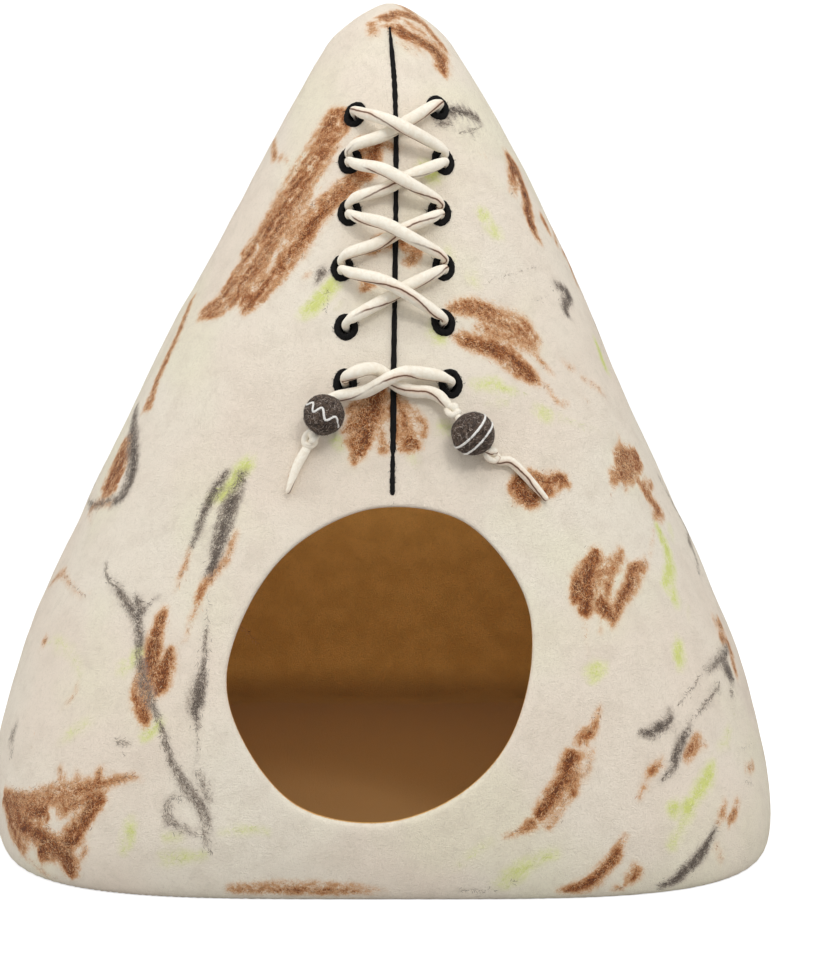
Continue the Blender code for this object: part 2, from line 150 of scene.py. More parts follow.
def spline(points, steps, closed=False):
    """Points along a smooth curve through the rows of a table."""
    points = np.asarray(points, float)
    if closed:
        padded = np.concatenate([points[-1:], points, points[:2]])
    else:
        padded = np.concatenate([2 * points[:1] - points[1:2], points, 2 * points[-1:] - points[-2:-1]])
    result = []
    for before, start, end, after in zip(padded, padded[1:], padded[2:], padded[3:]):
        t = (np.arange(steps) / steps)[:, None]
        s0, s1, rise = (end - before) / 2, (after - start) / 2, end - start
        result.append(start + s0 * t + (3 * rise - 2 * s0 - s1) * t ** 2 + (s0 + s1 - 2 * rise) * t ** 3)
    if not closed:
        result.append(points[-1:])
    return np.concatenate(result)


axis = ENTRANCE_MIDDLE - HOLLOW_MIDDLE
axis /= np.linalg.norm(axis)
across_axis = np.array((1.0, 0.0, 0.0))
across_axis -= axis * (across_axis @ axis)
across_axis /= np.linalg.norm(across_axis)
up_axis = np.cross(across_axis, axis)
up_axis *= np.sign(up_axis[2])

outline = spline(ENTRANCE_OUTLINE, 16, closed=True) - ENTRANCE_MIDDLE[[0, 2]]
outline_angle = np.arctan2(outline[:, 1], outline[:, 0])
outline_order = np.argsort(outline_angle)
outline_angle = outline_angle[outline_order]
outline_radius = np.hypot(*outline.T)[outline_order]


def surface_points(polar, turn):
    """Where the outer form is met from the hollow's middle, at angles from and round the axis."""
    polar, turn = np.broadcast_arrays(polar, turn)
    sideways = np.cos(turn)[..., None] * across_axis + np.sin(turn)[..., None] * up_axis
    direction = np.cos(polar)[..., None] * axis + np.sin(polar)[..., None] * sideways
    near, far = np.zeros(polar.shape), np.full(polar.shape, 0.62)
    for _ in range(26):
        middle = (near + far) / 2
        inside = inside_form(HOLLOW_MIDDLE + direction * middle[..., None])
        near, far = np.where(inside, middle, near), np.where(inside, far, middle)
    return HOLLOW_MIDDLE + direction * near[..., None]


def beyond_outline(points):
    """Whether points of the front lie outside the entrance's outline, seen from the front."""
    offset = points[..., [0, 2]] - ENTRANCE_MIDDLE[[0, 2]]
    angle = np.arctan2(offset[..., 1], offset[..., 0])
    radius = np.interp(angle, outline_angle, outline_radius, period=2 * math.pi)
    return np.hypot(offset[..., 0], offset[..., 1]) > radius


# More meridians run up to the tip and to the two corners at the floor.
even_turn = np.linspace(-math.pi, math.pi, 721)
density = 1 + sum(more * np.exp(-((even_turn - at) / wide) ** 2) for at, wide, more in (
    (math.pi / 2, 0.75, 0.9), (-2.45, 0.28, 1.5), (-0.69, 0.28, 1.5)))
share = np.concatenate([[0], np.cumsum((density[1:] + density[:-1]) / 2)])
turns = np.interp(np.arange(MERIDIANS) / MERIDIANS, share / share[-1], even_turn)
low, high = np.zeros(MERIDIANS), np.full(MERIDIANS, 1.3)
for _ in range(26):
    middle = (low + high) / 2
    outside = beyond_outline(surface_points(middle, turns))
    low, high = np.where(outside, low, middle), np.where(outside, middle, high)
rim_polar = high
fine = np.linspace(0, 1, 181)[:, None]
fine_polar = rim_polar + (math.pi - rim_polar) * fine
fine_points = surface_points(fine_polar, turns)
fine_steps = np.linalg.norm(np.diff(fine_points, axis=0), axis=2)
travelled = np.concatenate([np.zeros((1, MERIDIANS)), np.cumsum(fine_steps, axis=0)])


def shell_loops(count, growth):
    """Rows of points from the entrance's rim to the back, a loop to each row."""
    u = np.linspace(0, 1, count + 1)[1:]
    spread = (1 - growth) * u + growth * u ** 2
    rows = [rim_polar]
    for part in spread[:-1]:
        reach = RIM_WIDTH + part * (travelled[-1] - RIM_WIDTH)
        rows.append([np.interp(r, travelled[:, m], fine_polar[:, m]) for m, r in enumerate(reach)])
    return surface_points(np.array(rows), turns)


def form_normals(points):
    """Outward directions of the outer form at points on it."""
    step = 0.0006
    away = points - HOLLOW_MIDDLE
    away /= np.linalg.norm(away, axis=-1, keepdims=True)
    side = np.cross(away, (0.31, 0.27, 0.91))
    side /= np.linalg.norm(side, axis=-1, keepdims=True)
    rise = np.cross(side, away)

    def on_form(rays):
        direction = rays - HOLLOW_MIDDLE
        length = np.linalg.norm(direction, axis=-1, keepdims=True)
        direction /= length
        near, far = length[..., 0] * 0.9, length[..., 0] * 1.1
        for _ in range(22):
            middle = (near + far) / 2
            inside = inside_form(HOLLOW_MIDDLE + direction * middle[..., None])
            near, far = np.where(inside, middle, near), np.where(inside, far, middle)
        return HOLLOW_MIDDLE + direction * near[..., None]

    across = on_form(points + side * step) - on_form(points - side * step)
    along = on_form(points + rise * step) - on_form(points - rise * step)
    normal = np.cross(across, along)
    normal /= np.linalg.norm(normal, axis=-1, keepdims=True)
    return normal * np.sign(np.sum(normal * away, axis=-1, keepdims=True))


def lumps(points):
    """How far the hand-felted surface stands out from its even form, at points."""
    flat = points.reshape(-1, 3)
    rise = np.empty(len(flat))
    for k, point in enumerate(flat):
        rise[k] = sum(
            most * noise.noise(Vector(point) * scale + Vector(start)) for most, scale, start in LUMPS)
    return rise.reshape(points.shape[:-1])


def lay_skin(bm, loops, back, inwards):
    """Lay a sphere without its top over rows of points, so that its hole is the entrance."""
    made = bmesh.ops.create_uvsphere(
        bm, u_segments=MERIDIANS, v_segments=len(loops) + 1, radius=1.0)["verts"]
    top = max(made, key=lambda v: v.co.z)
    for vert in made:
        ring = round(math.acos(max(-1.0, min(1.0, vert.co.z))) / math.pi * (len(loops) + 1)) - 1
        if vert is top:
            continue
        if ring >= len(loops):
            vert.co = back
            continue
        meridian = round(math.atan2(vert.co.y, vert.co.x) / (2 * math.pi) * MERIDIANS) % MERIDIANS
        vert.co = loops[ring, meridian]
    bmesh.ops.delete(bm, geom=[top], context="VERTS")
    made.remove(top)
    faces = list({face for vert in made for face in vert.link_faces})
    if inwards:
        bmesh.ops.reverse_faces(bm, faces=faces)
    return faces


outer_loops = shell_loops(LOOPS, LOOP_GROWTH)
outer_back = surface_points(np.array([math.pi]), np.array([0.0]))
uneven = np.minimum(np.arange(LOOPS) / EVEN_RIM_LOOPS, 1)[:, None]
uneven = uneven * np.clip(outer_loops[..., 2] / EVEN_BASE_HEIGHT, 0, 1)
outer_loops = outer_loops + form_normals(outer_loops) * (lumps(outer_loops) * uneven)[..., None]
lining_form = shell_loops(LINING_LOOPS, LINING_LOOP_GROWTH)
lining_loops = lining_form - form_normals(lining_form) * WALL_THICKNESS
depth_at_rim = WALL_THICKNESS / np.abs(form_normals(lining_form[0])[:, 1])
lining_loops[0] = lining_form[0] + depth_at_rim[:, None] * np.array((0.0, 1.0, 0.0))
lining_back = outer_back - form_normals(outer_back) * WALL_THICKNESS

shell_bm = bmesh.new()
outer_faces = lay_skin(shell_bm, outer_loops, outer_back[0], inwards=False)
lay_skin(shell_bm, lining_loops, lining_back[0], inwards=True)
bmesh.ops.recalc_face_normals(shell_bm, faces=outer_faces)
rims = [edge for edge in shell_bm.edges if edge.is_boundary]
bmesh.ops.bridge_loops(shell_bm, edges=rims)
bmesh.ops.recalc_face_normals(shell_bm, faces=shell_bm.faces)
bmesh.ops.bevel(
    shell_bm, geom=rims, offset=RIM_ROUNDING, offset_type="OFFSET", segments=4, profile=0.5,
    affect="EDGES", material=-1)
for face in shell_bm.faces:
    face.smooth = True
shell_mesh = bpy.data.meshes.new("felt_cave")
shell_bm.to_mesh(shell_mesh)
shell_bm.free()
shell = bpy.data.objects.new("felt_cave", shell_mesh)
bpy.context.scene.collection.objects.link(shell)

EYELETS = {
    "l1": (-0.0190, 0.5160), "r1": (0.0395, 0.5210), "l2": (-0.0225, 0.4835),
    "r2": (0.0430, 0.4830), "l3": (-0.0225, 0.4475), "r3": (0.0400, 0.4475),
    "l4": (-0.0275, 0.4095), "r4": (0.0425, 0.4100), "l5": (-0.0245, 0.3700),
    "r5": (0.0420, 0.3730), "l6": (-0.0250, 0.3330), "r6": (0.0465, 0.3325),
}
HOLE_HALF_WIDTH, HOLE_HALF_HEIGHT = 0.0047, 0.0070
cutter_bm = bmesh.new()
for across, height in EYELETS.values():
    place = front_point(np.array([across]), np.array([height]))
    out = Vector(form_normals(place)[0])
    right = Vector((0, 0, 1)).cross(-out).normalized()
    turned = Matrix((right, out.cross(right), out)).transposed().to_4x4()
    bmesh.ops.create_cone(
        cutter_bm, cap_ends=True, segments=20, radius1=1.0, radius2=1.0, depth=1.0,
        matrix=Matrix.Translation(place[0]) @ turned @ Matrix.Diagonal(
            (HOLE_HALF_WIDTH, HOLE_HALF_HEIGHT, 4 * WALL_THICKNESS, 1)))
bmesh.ops.recalc_face_normals(cutter_bm, faces=cutter_bm.faces)
cutter_mesh = bpy.data.meshes.new("lace_hole_punch")
cutter_bm.to_mesh(cutter_mesh)
cutter_bm.free()
cutter = bpy.data.objects.new("lace_hole_punch", cutter_mesh)
bpy.context.scene.collection.objects.link(cutter)
punch = shell.modifiers.new("lace_holes", "BOOLEAN")
punch.object, punch.operation, punch.solver = cutter, "DIFFERENCE", "FAST"
punched = bpy.data.meshes.new_from_object(shell.evaluated_get(bpy.context.evaluated_depsgraph_get()))
shell.modifiers.clear()
shell.data = punched
bpy.data.objects.remove(cutter)
bpy.data.meshes.remove(shell_mesh)
shell_mesh = punched
shell_mesh.name = "felt_cave"

# The lining shows where the skin faces the hollow.
count = len(shell_mesh.vertices)
places, normals = np.empty(count * 3, np.float32), np.empty(count * 3, np.float32)
shell_mesh.vertices.foreach_get("co", places)
shell_mesh.vertex_normals.foreach_get("vector", normals)
away = places.reshape(-1, 3) - HOLLOW_MIDDLE
away /= np.linalg.norm(away, axis=1, keepdims=True)
lining = np.clip(-2.2 * np.sum(away * normals.reshape(-1, 3), axis=1) - 0.1, 0, 1)
lining_layer = shell_mesh.attributes.new("lining", "FLOAT", "POINT")
lining_layer.data.foreach_set("value", lining.astype(np.float32))


def add_node(tree, kind, inputs=(), **settings):
    """A shader node with its settings, and its inputs linked or set."""
    node = tree.nodes.new("ShaderNode" + kind)
    for name, value in settings.items():
        setattr(node, name, value)
    for name, value in dict(inputs).items():
        if isinstance(value, bpy.types.NodeSocket):
            tree.links.new(value, node.inputs[name])
        else:
            node.inputs[name].default_value = value
    return node


def mix(tree, share, first, second):
    """The socket of two colours mixed."""
    first, second = (
        colour if isinstance(colour, bpy.types.NodeSocket) else (*colour, 1) for colour in (first, second))
    return add_node(tree, "Mix", {0: share, 6: first, 7: second}, data_type="RGBA").outputs[2]


def calc(tree, operation, *values):
    """The socket of a sum on sockets and numbers."""
    return add_node(tree, "Math", dict(enumerate(values)), operation=operation).outputs[0]


def between(tree, value, low, high, most=1.0):
    """The socket of a value eased from zero to a most between two limits."""
    return add_node(tree, "MapRange", {
        "Value": value, "From Min": low, "From Max": high, "To Min": 0.0, "To Max": most},
        interpolation_type="SMOOTHSTEP").outputs["Result"]


cream = bpy.data.materials.new("cream_felt")
cream.use_nodes = True
tree = cream.node_tree
place = add_node(tree, "TexCoord").outputs["Object"]


def grain(scale, detail=3.0, distortion=0.0):
    """The socket of a noise over the felt."""
    return add_node(tree, "TexNoise", {
        "Vector": place, "Scale": scale, "Detail": detail, "Distortion": distortion}).outputs["Fac"]


cloud, drift, mottle, curl, fine = grain(7), grain(11, 2), grain(48), grain(420, 4, 2.2), grain(1100, 3, 1.5)
felt = mix(tree, between(tree, cloud, 0.35, 0.65), (0.89, 0.815, 0.686), (0.87, 0.760, 0.634))
felt = mix(tree, between(tree, drift, 0.48, 0.70, 0.38), felt, (0.86, 0.835, 0.60))
felt = mix(tree, between(tree, mottle, 0.45, 0.75, 0.25), felt, (0.66, 0.56, 0.45))
felt = mix(tree, between(tree, curl, 0.48, 0.70, 0.30), felt, (0.62, 0.545, 0.44))
wool_colour = add_node(tree, "Attribute", attribute_name="wool").outputs["Color"]
wool_share = add_node(tree, "SeparateColor", {0: wool_colour})
patchy = grain(130, 3, 0.8)
felt = mix(tree, between(tree, patchy, 0.50, 0.72, 0.22), felt, (0.68, 0.60, 0.48))


def total(*terms):
    """The socket of a sum of noises, each less its middle value and times its weight."""
    value = -0.5 * sum(weight for _, weight in terms)
    for noise_value, weight in terms:
        value = calc(tree, "MULTIPLY_ADD", noise_value, weight, value)
    return value


soft, frayed = total((patchy, 2.0), (curl, 1.9)), total((patchy, 1.2), (curl, 2.4), (fine, 2.8))
for channel, tints in (
        ("Blue", (
            (soft, 0.02, 0.50, 0.58, (0.77, 0.78, 0.36)),
            (soft, 0.30, 0.90, 0.75, (0.66, 0.71, 0.17)))),
        ("Red", (
            (soft, 0.03, 0.55, 0.90, (0.74, 0.42, 0.19)),
            (soft, 0.16, 0.95, 1.00, (0.37, 0.112, 0.024)),
            (frayed, 0.55, 1.25, 0.90, (0.11, 0.032, 0.012)))),
        ("Green", (
            (soft, 0.02, 0.60, 0.65, (0.45, 0.375, 0.305)),
            (frayed, 0.35, 1.10, 0.85, (0.075, 0.053, 0.042))))):
    share = wool_share.outputs[channel]
    for unevenness, low, high, most, tint in tints:
        reach = calc(tree, "MULTIPLY_ADD", share, unevenness, share)
        felt = mix(tree, between(tree, reach, low, high, most), felt, tint)
brown = mix(tree, between(tree, mottle, 0.35, 0.65), (0.68, 0.375, 0.092), (0.77, 0.435, 0.115))
brown = mix(tree, between(tree, curl, 0.45, 0.70, 0.45), brown, (0.49, 0.26, 0.068))
# Painted shade: the brown lining is darker on the floor of the hollow. It eases back to the usual brown by 45
# mm above the floor, to stand in for the shade down there.
above_floor = add_node(tree, "SeparateXYZ", {0: place}).outputs["Z"]
brown = mix(tree, between(tree, above_floor, 0.012, 0.045), (0.36, 0.19, 0.052), brown)
lined = add_node(tree, "Attribute", attribute_name="lining").outputs["Fac"]
edge = calc(tree, "MULTIPLY_ADD", lined, frayed, lined)
rim_felt = mix(tree, between(tree, edge, 0.1, 0.7), felt, brown)
felt = mix(tree, between(tree, lined, 0.25, 0.75), rim_felt, brown)
nap = calc(tree, "ADD", curl, fine)
relief = add_node(tree, "Bump", {"Height": nap, "Strength": 0.9, "Distance": 0.0009})
surface = tree.nodes["Principled BSDF"]
tree.links.new(felt, surface.inputs["Base Color"])
tree.links.new(relief.outputs["Normal"], surface.inputs["Normal"])
surface.inputs["Roughness"].default_value = 0.92
surface.inputs["Specular IOR Level"].default_value = 0.2
surface.inputs["Sheen Weight"].default_value = 0.08
surface.inputs["Sheen Roughness"].default_value = 0.6
shell_mesh.materials.clear()
shell_mesh.materials.append(cream)
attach(shell, "root")
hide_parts("felt_shell")


# ---- Tufts of coloured wool ----
# Thin tufts of rust, charcoal and lime wool were laid on the cream batt before it was wetted, and
# are felted into its surface. Their fibres cross and curl, and the tufts fray out at the edges.
# The tables give each stroke of wool on the front as its density and its places, chosen on the photo:
# across, down and width, in its pixels. The sides and back have tufts of the same kind.

RUST_STROKES = (
    (1, ((338, 112, 18), (330, 135, 30), (303, 180, 34), (277, 222, 30), (250, 265, 32), (226, 300, 26),
        (203, 314, 8))),
    (0.55, ((305, 197, 18.5), (277, 237, 25), (249, 275, 26.5), (227, 297, 21), (210, 311, 10))),
    (1, ((366, 140, 22), (362, 172, 26), (340, 192, 24), (316, 216, 26), (290, 252, 30), (262, 288, 26),
        (243, 308, 14))),
    (0.35, ((372, 140, 16), (398, 150, 14))),
    (0.5, ((370, 250, 20), (395, 240, 26), (420, 250, 14))),
    (0.5, ((372, 278, 12), (362, 292, 10))),
    (0.6, ((407, 247, 14), (415, 253, 12), (407, 263, 6))),
    (0.7, ((366, 276, 8), (372, 281, 9), (362, 285, 6))),
    (0.5, ((308, 274, 5), (303, 278, 4))),
    (0.6, ((269, 143, 4), (274, 156, 5), (284, 160, 3), (293, 165, 2))),
    (0.6, ((192, 300, 5), (180, 330, 8), (167, 358, 8), (156, 385, 10), (146, 408, 14))),
    (1, ((127, 440, 12), (120, 462, 22), (113, 480, 26), (110, 494, 18))),
    (0.6, ((113, 503, 4), (96, 506, 5), (90, 512, 3), (91, 527, 2))),
    (0.4, ((49, 588, 4), (60, 574, 6), (68, 580, 4), (78, 592, 2), (88, 596, 2))),
    (0.5, ((43, 643, 7), (47, 641, 3))),
    (0.5, ((76, 684, 3), (74, 694, 3), (62, 708, 4))),
    (0.75, ((236, 533, 5), (228, 556, 7), (213, 575, 8), (201, 592, 7), (196, 608, 5), (188, 626, 5),
        (179, 652, 5))),
    (0.35, ((190, 548, 4), (186, 562, 5), (181, 574, 6), (175, 590, 3))),
    (0.25, ((300, 440, 3), (293, 462, 4), (285, 478, 3), (268, 490, 3), (250, 512, 3))),
    (1, ((163, 612, 6), (158, 625, 12), (153, 640, 16), (151, 655, 20), (148, 672, 24), (143, 690, 24),
        (141, 706, 18), (145, 722, 8))),
    (0.9, ((170, 650, 6), (166, 664, 14), (162, 680, 16), (156, 694, 12))),
    (0.3, ((35, 719, 3), (35, 734, 3), (33, 753, 3))),
    (1, ((4, 798, 22.5), (16, 802, 27.5), (34, 800, 30), (54, 795, 27), (73, 791, 20), (88, 788, 12.5))),
    (0.6, ((73, 791, 17.5), (95, 787, 15.5), (115, 782, 9), (131, 777, 5), (142, 779, 2.5))),
    (0.8, ((4, 795, 9), (7, 807, 13.5), (13, 829, 18.5), (28, 850, 18.5))),
    (1, ((16, 815, 28), (26, 828, 38), (42, 838, 34), (56, 848, 30), (66, 858, 24), (72, 872, 12))),
    (0.9, ((100, 795, 14), (93, 807, 18), (84, 820, 16), (75, 834, 18), (64, 846, 16))),
    (1, ((10, 806, 26), (30, 811, 26), (46, 814, 18))),
    (1, ((40, 852, 24), (58, 848, 20), (74, 838, 16))),
    (0.8, ((60, 812, 12), (80, 806, 16), (100, 800, 14))),
    (0.6, ((59, 768, 4), (62, 780, 8))),
    (0.5, ((77, 770, 4), (80, 782, 8))),
    (0.7, ((101, 768, 5), (100, 780, 10))),
    (0.5, ((78, 862, 6), (86, 850, 5), (84, 838, 4))),
    (0.3, ((30, 862, 8), (45, 876, 8), (62, 882, 6))),
    (0.8, ((229, 889, 6.5), (260, 888, 9.5), (300, 888, 10.5), (345, 890, 9.5), (384, 892, 5))),
    (0.3, ((441, 886, 3), (449, 882, 3))),
    (0.4, ((481, 155, 3), (489, 156.5, 3))),
    (1, ((508, 157, 8), (511, 163, 12), (512, 172, 11), (512, 181, 9), (511, 193, 3))),
    (1, ((515, 166, 9), (520, 178, 9), (524, 190, 11), (527, 205, 12), (529, 218, 11), (534, 231, 5),
        (541, 242, 2))),
    (0.7, ((542, 217, 6), (547, 230, 6))),
    (0.4, ((556, 245, 5),)),
    (1, ((447, 309, 4), (461, 307, 11), (473, 306, 15), (481, 308, 19), (491, 312, 21), (503, 318, 22),
        (515, 323, 22), (525, 328, 18), (530, 335, 10))),
    (0.5, ((531, 333, 9), (536, 340, 8), (532, 350, 8))),
    (0.45, ((476, 326, 7), (491, 331, 12), (507, 338, 14), (525, 342, 16), (531, 348, 12))),
    (1, ((450, 334, 3), (461, 337, 9), (470, 341, 14), (482, 344, 17), (494, 347, 19), (503, 352, 21),
        (514, 361, 21), (522, 368, 19), (530, 375, 14), (539, 381, 5))),
    (0.7, ((528, 352, 4), (537, 358, 4), (545, 366, 5), (552, 373, 3))),
    (0.4, ((540, 381, 4), (549, 390, 6), (556, 401, 6), (568, 404, 6))),
    (0.45, ((562, 360, 3), (568, 366, 4), (575, 370, 4), (578, 375, 3))),
    (0.5, ((580, 378, 4), (591, 384, 4), (600, 390, 5), (606, 398, 3))),
    (0.25, ((577, 393, 3), (592, 402, 3))),
    (0.4, ((618, 434, 4), (620, 438, 4))),
    (0.9, ((528, 470, 3), (537, 479, 9), (543, 483, 15), (551, 482, 18), (560, 479, 12), (568, 484, 5))),
    (0.8, ((547, 489, 10), (553, 492, 6))),
    (1, ((520, 480, 9), (519, 488, 17), (523, 494, 20), (530, 500, 14), (536, 497, 8))),
    (0.6, ((513, 499, 5), (517, 504, 4))),
    (0.8, ((530, 505, 6), (526, 508, 4))),
    (0.9, ((625, 451, 10), (620, 460, 15), (630, 461, 22), (638, 457, 9))),
    (0.8, ((623, 470, 20), (633, 470, 12), (616, 477, 9), (613, 485, 4))),
    (0.7, ((626, 478, 6), (626, 491, 2))),
    (0.6, ((633, 476, 4), (632, 488, 2))),
    (0.7, ((639, 482, 6), (646, 488, 10), (653, 486, 6))),
    (0.7, ((646, 494, 7), (651, 501, 8), (656, 506, 9), (660, 511, 10), (654, 517, 5))),
    (0.35, ((654, 526, 3), (653, 536, 3), (651, 549, 3), (648, 561, 3))),
    (0.2, ((612, 485, 2), (611, 500, 2), (611, 519, 2))),
    (1, ((597, 552, 8), (595, 561, 13), (590, 573, 22), (586, 583, 27), (588, 593, 24), (586, 603, 15),
        (585, 611, 10))),
    (0.85, ((577, 577, 7), (577, 585, 11), (574, 595, 8), (575, 603, 7))),
    (0.8, ((620, 551, 6), (616, 561, 10), (610, 569, 11), (605, 578, 13), (602, 588, 14))),
    (0.85, ((646, 562, 3), (640, 568, 8), (634, 573, 14), (632, 583, 13), (626, 594, 12), (620, 603, 11),
        (615, 616, 6))),
    (0.9, ((600, 600, 12), (606, 611, 15), (612, 617, 9), (613, 627, 3))),
    (0.6, ((602, 625, 3), (597, 637, 4))),
    (0.4, ((598, 596, 26), (604, 604, 22))),
    (0.3, ((585, 619, 4), (586, 634, 4), (588, 652, 4))),
    (0.65, ((714, 621, 4), (721, 626, 10), (719, 637, 6), (725, 641, 9), (730, 652, 8), (733, 665, 8),
        (735, 675, 6))),
    (0.7, ((601, 706, 3), (598, 718, 5), (593, 730, 8), (585, 737, 11), (580, 745, 15))),
    (1, ((573, 756, 21), (569, 767, 25), (565, 778, 27), (558, 790, 25), (551, 800, 22), (545, 809, 18),
        (540, 815, 13))),
    (1, ((532, 824, 8), (524, 830, 5), (514, 833, 4), (505, 836, 3))),
    (0.7, ((591, 748, 5), (587, 762, 8), (583, 783, 5))),
    (0.8, ((577, 785, 6), (573, 790, 9), (565, 803, 6), (557, 816, 6), (548, 826, 5))),
    (0.95, ((625, 836, 3), (620, 846, 5), (615, 856, 9), (610, 864, 13), (601, 872, 13), (593, 880, 16),
        (585, 885, 14), (573, 889, 9), (560, 891, 5))),
    (0.85, ((638, 861, 4), (635, 874, 9), (628, 883, 6))),
    (0.7, ((614, 887, 7), (622, 888, 6))),
    (0.7, ((706, 743, 5), (696, 741, 8), (691, 748, 10), (686, 756, 9))),
    (0.55, ((663, 762, 9), (655, 768, 9), (648, 774, 8))),
    (0.6, ((645, 784, 5), (641, 792, 4), (638, 799, 3))),
    (0.8, ((724, 806, 6), (721, 816, 7), (718, 824, 5))),
    (0.7, ((737, 804, 4), (734, 814, 6), (729, 822, 7))),
    (0.4, ((716, 847, 5), (722, 858, 5), (720, 867, 4))),
    (0.6, ((746, 767, 4), (753, 765, 5))),
    (0.9, ((381, 18.5, 9), (389, 17, 12), (398, 13.5, 8), (408, 14.7, 8), (416, 18.5, 6), (423, 22.5, 5))),
    (0.9, ((390, 23, 10), (397, 28, 11), (404, 34, 13), (412, 38, 14), (421, 42, 13), (430, 46, 13),
        (437, 53, 15), (442, 60, 13), (442, 69, 9), (444, 75, 4))),
    (0.35, ((407, 23, 11.5), (419, 32, 13.5), (432, 37, 11), (438, 44, 9))),
    (0.6, ((431, 31, 5), (440, 41, 6), (447, 51, 7))),
    (0.7, ((373, 22.5, 7), (374, 29.5, 8), (375, 36.5, 5))),
    (0.35, ((398, 42, 8), (412, 52, 8), (423, 56, 8))),
    (1, ((380, 390, 10), (374, 399, 18), (376, 408, 18), (368, 416, 26), (366, 431, 22), (366, 440, 14),
        (361, 446, 12), (358, 454, 8), (354, 461, 7))),
    (0.8, ((376, 420, 12), (355, 425, 15), (347, 434, 8))),
    (0.45, ((359, 401, 12), (350, 412, 8))),
    (0.55, ((382, 394, 18), (372, 414, 31), (361, 431, 31), (355, 446, 18))),
    (0.5, ((391, 397, 12.5), (397, 412, 23.5), (401, 429, 26), (400, 442, 18))),
    (0.6, ((352, 440, 14), (356, 452, 12))),
    (0.6, ((383, 434, 9), (383, 450, 8), (388, 444, 6))),
    (0.45, ((405, 424, 15), (409, 434, 16))),
    (0.9, ((407, 443, 15), (415, 444, 9), (402, 448, 7))),
    (0.6, ((414, 406, 7), (418, 416, 7), (424, 426, 8), (421, 438, 7))),
)
CHARCOAL_STROKES = (
    (0.9, ((136, 408, 6), (134, 420, 10), (133, 440, 13), (133, 458, 12), (131, 476, 13), (123, 494, 10),
        (113, 501, 6))),
    (0.7, ((112, 500, 5), (98, 505, 6), (89, 501, 4))),
    (0.8, ((227, 474, 10), (215, 490, 11), (206, 508, 8), (200, 524, 8), (195, 538, 6), (190, 550, 3))),
    (0.95, ((243, 472, 8), (239, 488, 11), (230, 507, 17), (224, 524, 18), (220, 542, 15), (215, 560, 10),
        (207, 576, 6))),
    (0.4, ((250, 500, 3), (243, 510, 3), (238, 515, 2))),
    (0.85, ((105, 564, 2), (107, 577, 3), (116, 589, 7), (125, 602, 9), (133, 614, 10), (139, 627, 12),
        (139, 643, 11))),
    (0.7, ((134, 594, 4), (139, 604, 8), (141, 616, 10))),
    (0.6, ((157, 597, 4), (149, 604, 4), (142, 612, 5))),
    (0.9, ((138, 650, 8), (141, 671, 9), (145, 688, 12), (150, 700, 10), (157, 716, 4), (165, 738, 5),
        (172, 762, 6), (182, 780, 9), (192, 796, 11), (202, 812, 10), (207, 830, 9), (208, 844, 6),
        (214, 856, 2))),
    (0.8, ((182, 802, 4), (173, 798, 5), (166, 806, 7), (168, 819, 9), (178, 828, 9), (190, 834, 8),
        (203, 836, 6))),
    (0.25, ((196, 770, 8), (204, 785, 12), (210, 802, 8))),
    (0.8, ((209, 590, 1.5), (207, 620, 2), (206, 645, 4), (203, 668, 6), (200, 684, 12), (198, 699, 15),
        (197, 714, 11), (198, 730, 3), (197, 762, 2))),
    (0.6, ((114, 741, 3), (122, 741, 7), (131, 742, 3))),
    (0.5, ((122, 751, 3), (124, 756, 2))),
    (0.4, ((17, 724, 8), (12, 738, 9), (11, 759, 6))),
    (0.8, ((436, 118, 12), (447, 112, 9), (458, 111, 9), (467, 113, 9), (476, 117, 8), (481, 122, 4))),
    (0.6, ((436, 125, 6), (447, 123, 8), (457, 119, 7))),
    (0.5, ((460, 134, 4), (471, 129, 8), (480, 126, 4))),
    (0.2, ((466, 138, 3), (481, 138, 3))),
    (0.55, ((481, 285, 1.6), (493, 280.5, 1.6), (503, 277, 2), (510, 273.6, 2.4), (519, 272, 2),
        (527, 269, 1.6), (539, 266.7, 1.4), (548, 270, 1.4))),
    (0.6, ((532, 299, 1.4), (542, 299, 1.6), (548, 294, 2.6), (555, 289.6, 3))),
    (0.85, ((557, 285, 9), (564, 290, 12), (568, 296, 10), (565, 303, 9), (564, 310, 6), (570, 317, 3))),
    (0.55, ((318, 275, 12), (324, 271, 10), (317, 283, 5))),
    (0.25, ((328, 290, 1.4), (325, 313, 1.4))),
    (0.5, ((658, 476, 3), (666, 491, 3), (676, 511, 3), (686, 530, 4), (689, 543, 6), (694, 554, 6),
        (698, 566, 5), (699, 574, 5))),
    (0.3, ((580, 549, 3), (590, 542, 3))),
    (0.85, ((726, 646, 6), (724, 653, 10), (718, 659, 8), (711, 665, 8), (703, 673, 5))),
    (0.6, ((702, 673, 4), (694, 685, 2.4), (684, 698, 3), (677, 706, 4))),
    (0.9, ((672, 713, 9), (673, 721, 15), (663, 726, 10), (653, 733, 10), (643, 732, 5), (638, 729.6, 2))),
    (0.85, ((727, 665, 6), (727, 673, 14), (733, 680, 4))),
    (0.7, ((719, 680, 5), (716, 690, 4), (708, 700, 4), (699, 711, 4), (691, 718, 5), (683, 721, 8))),
    (0.3, ((729, 691, 6), (735, 694, 4))),
    (0.95, ((691, 729, 5), (684, 736, 7), (679, 746, 9), (676, 756, 9), (673, 766, 8), (666, 774, 5),
        (661, 779, 3))),
    (0.5, ((656, 739, 4), (646, 743, 4))),
    (0.95, ((716, 827, 4), (711, 837, 5), (706, 847, 9), (701, 856, 14), (694, 864, 16), (684, 872, 15),
        (676, 879, 12), (666, 884, 9), (655, 887, 4))),
    (0.35, ((741, 749, 3), (752, 744, 3))),
    (0.3, ((752, 781, 5), (745, 786, 4))),
    (0.7, ((459, 890, 4), (469, 890, 3), (484, 891, 4), (496, 891, 3))),
    (0.45, ((512, 881, 3), (522, 879.5, 2))),
    (0.18, ((392.5, 500, 4), (392.5, 505, 4))),
)
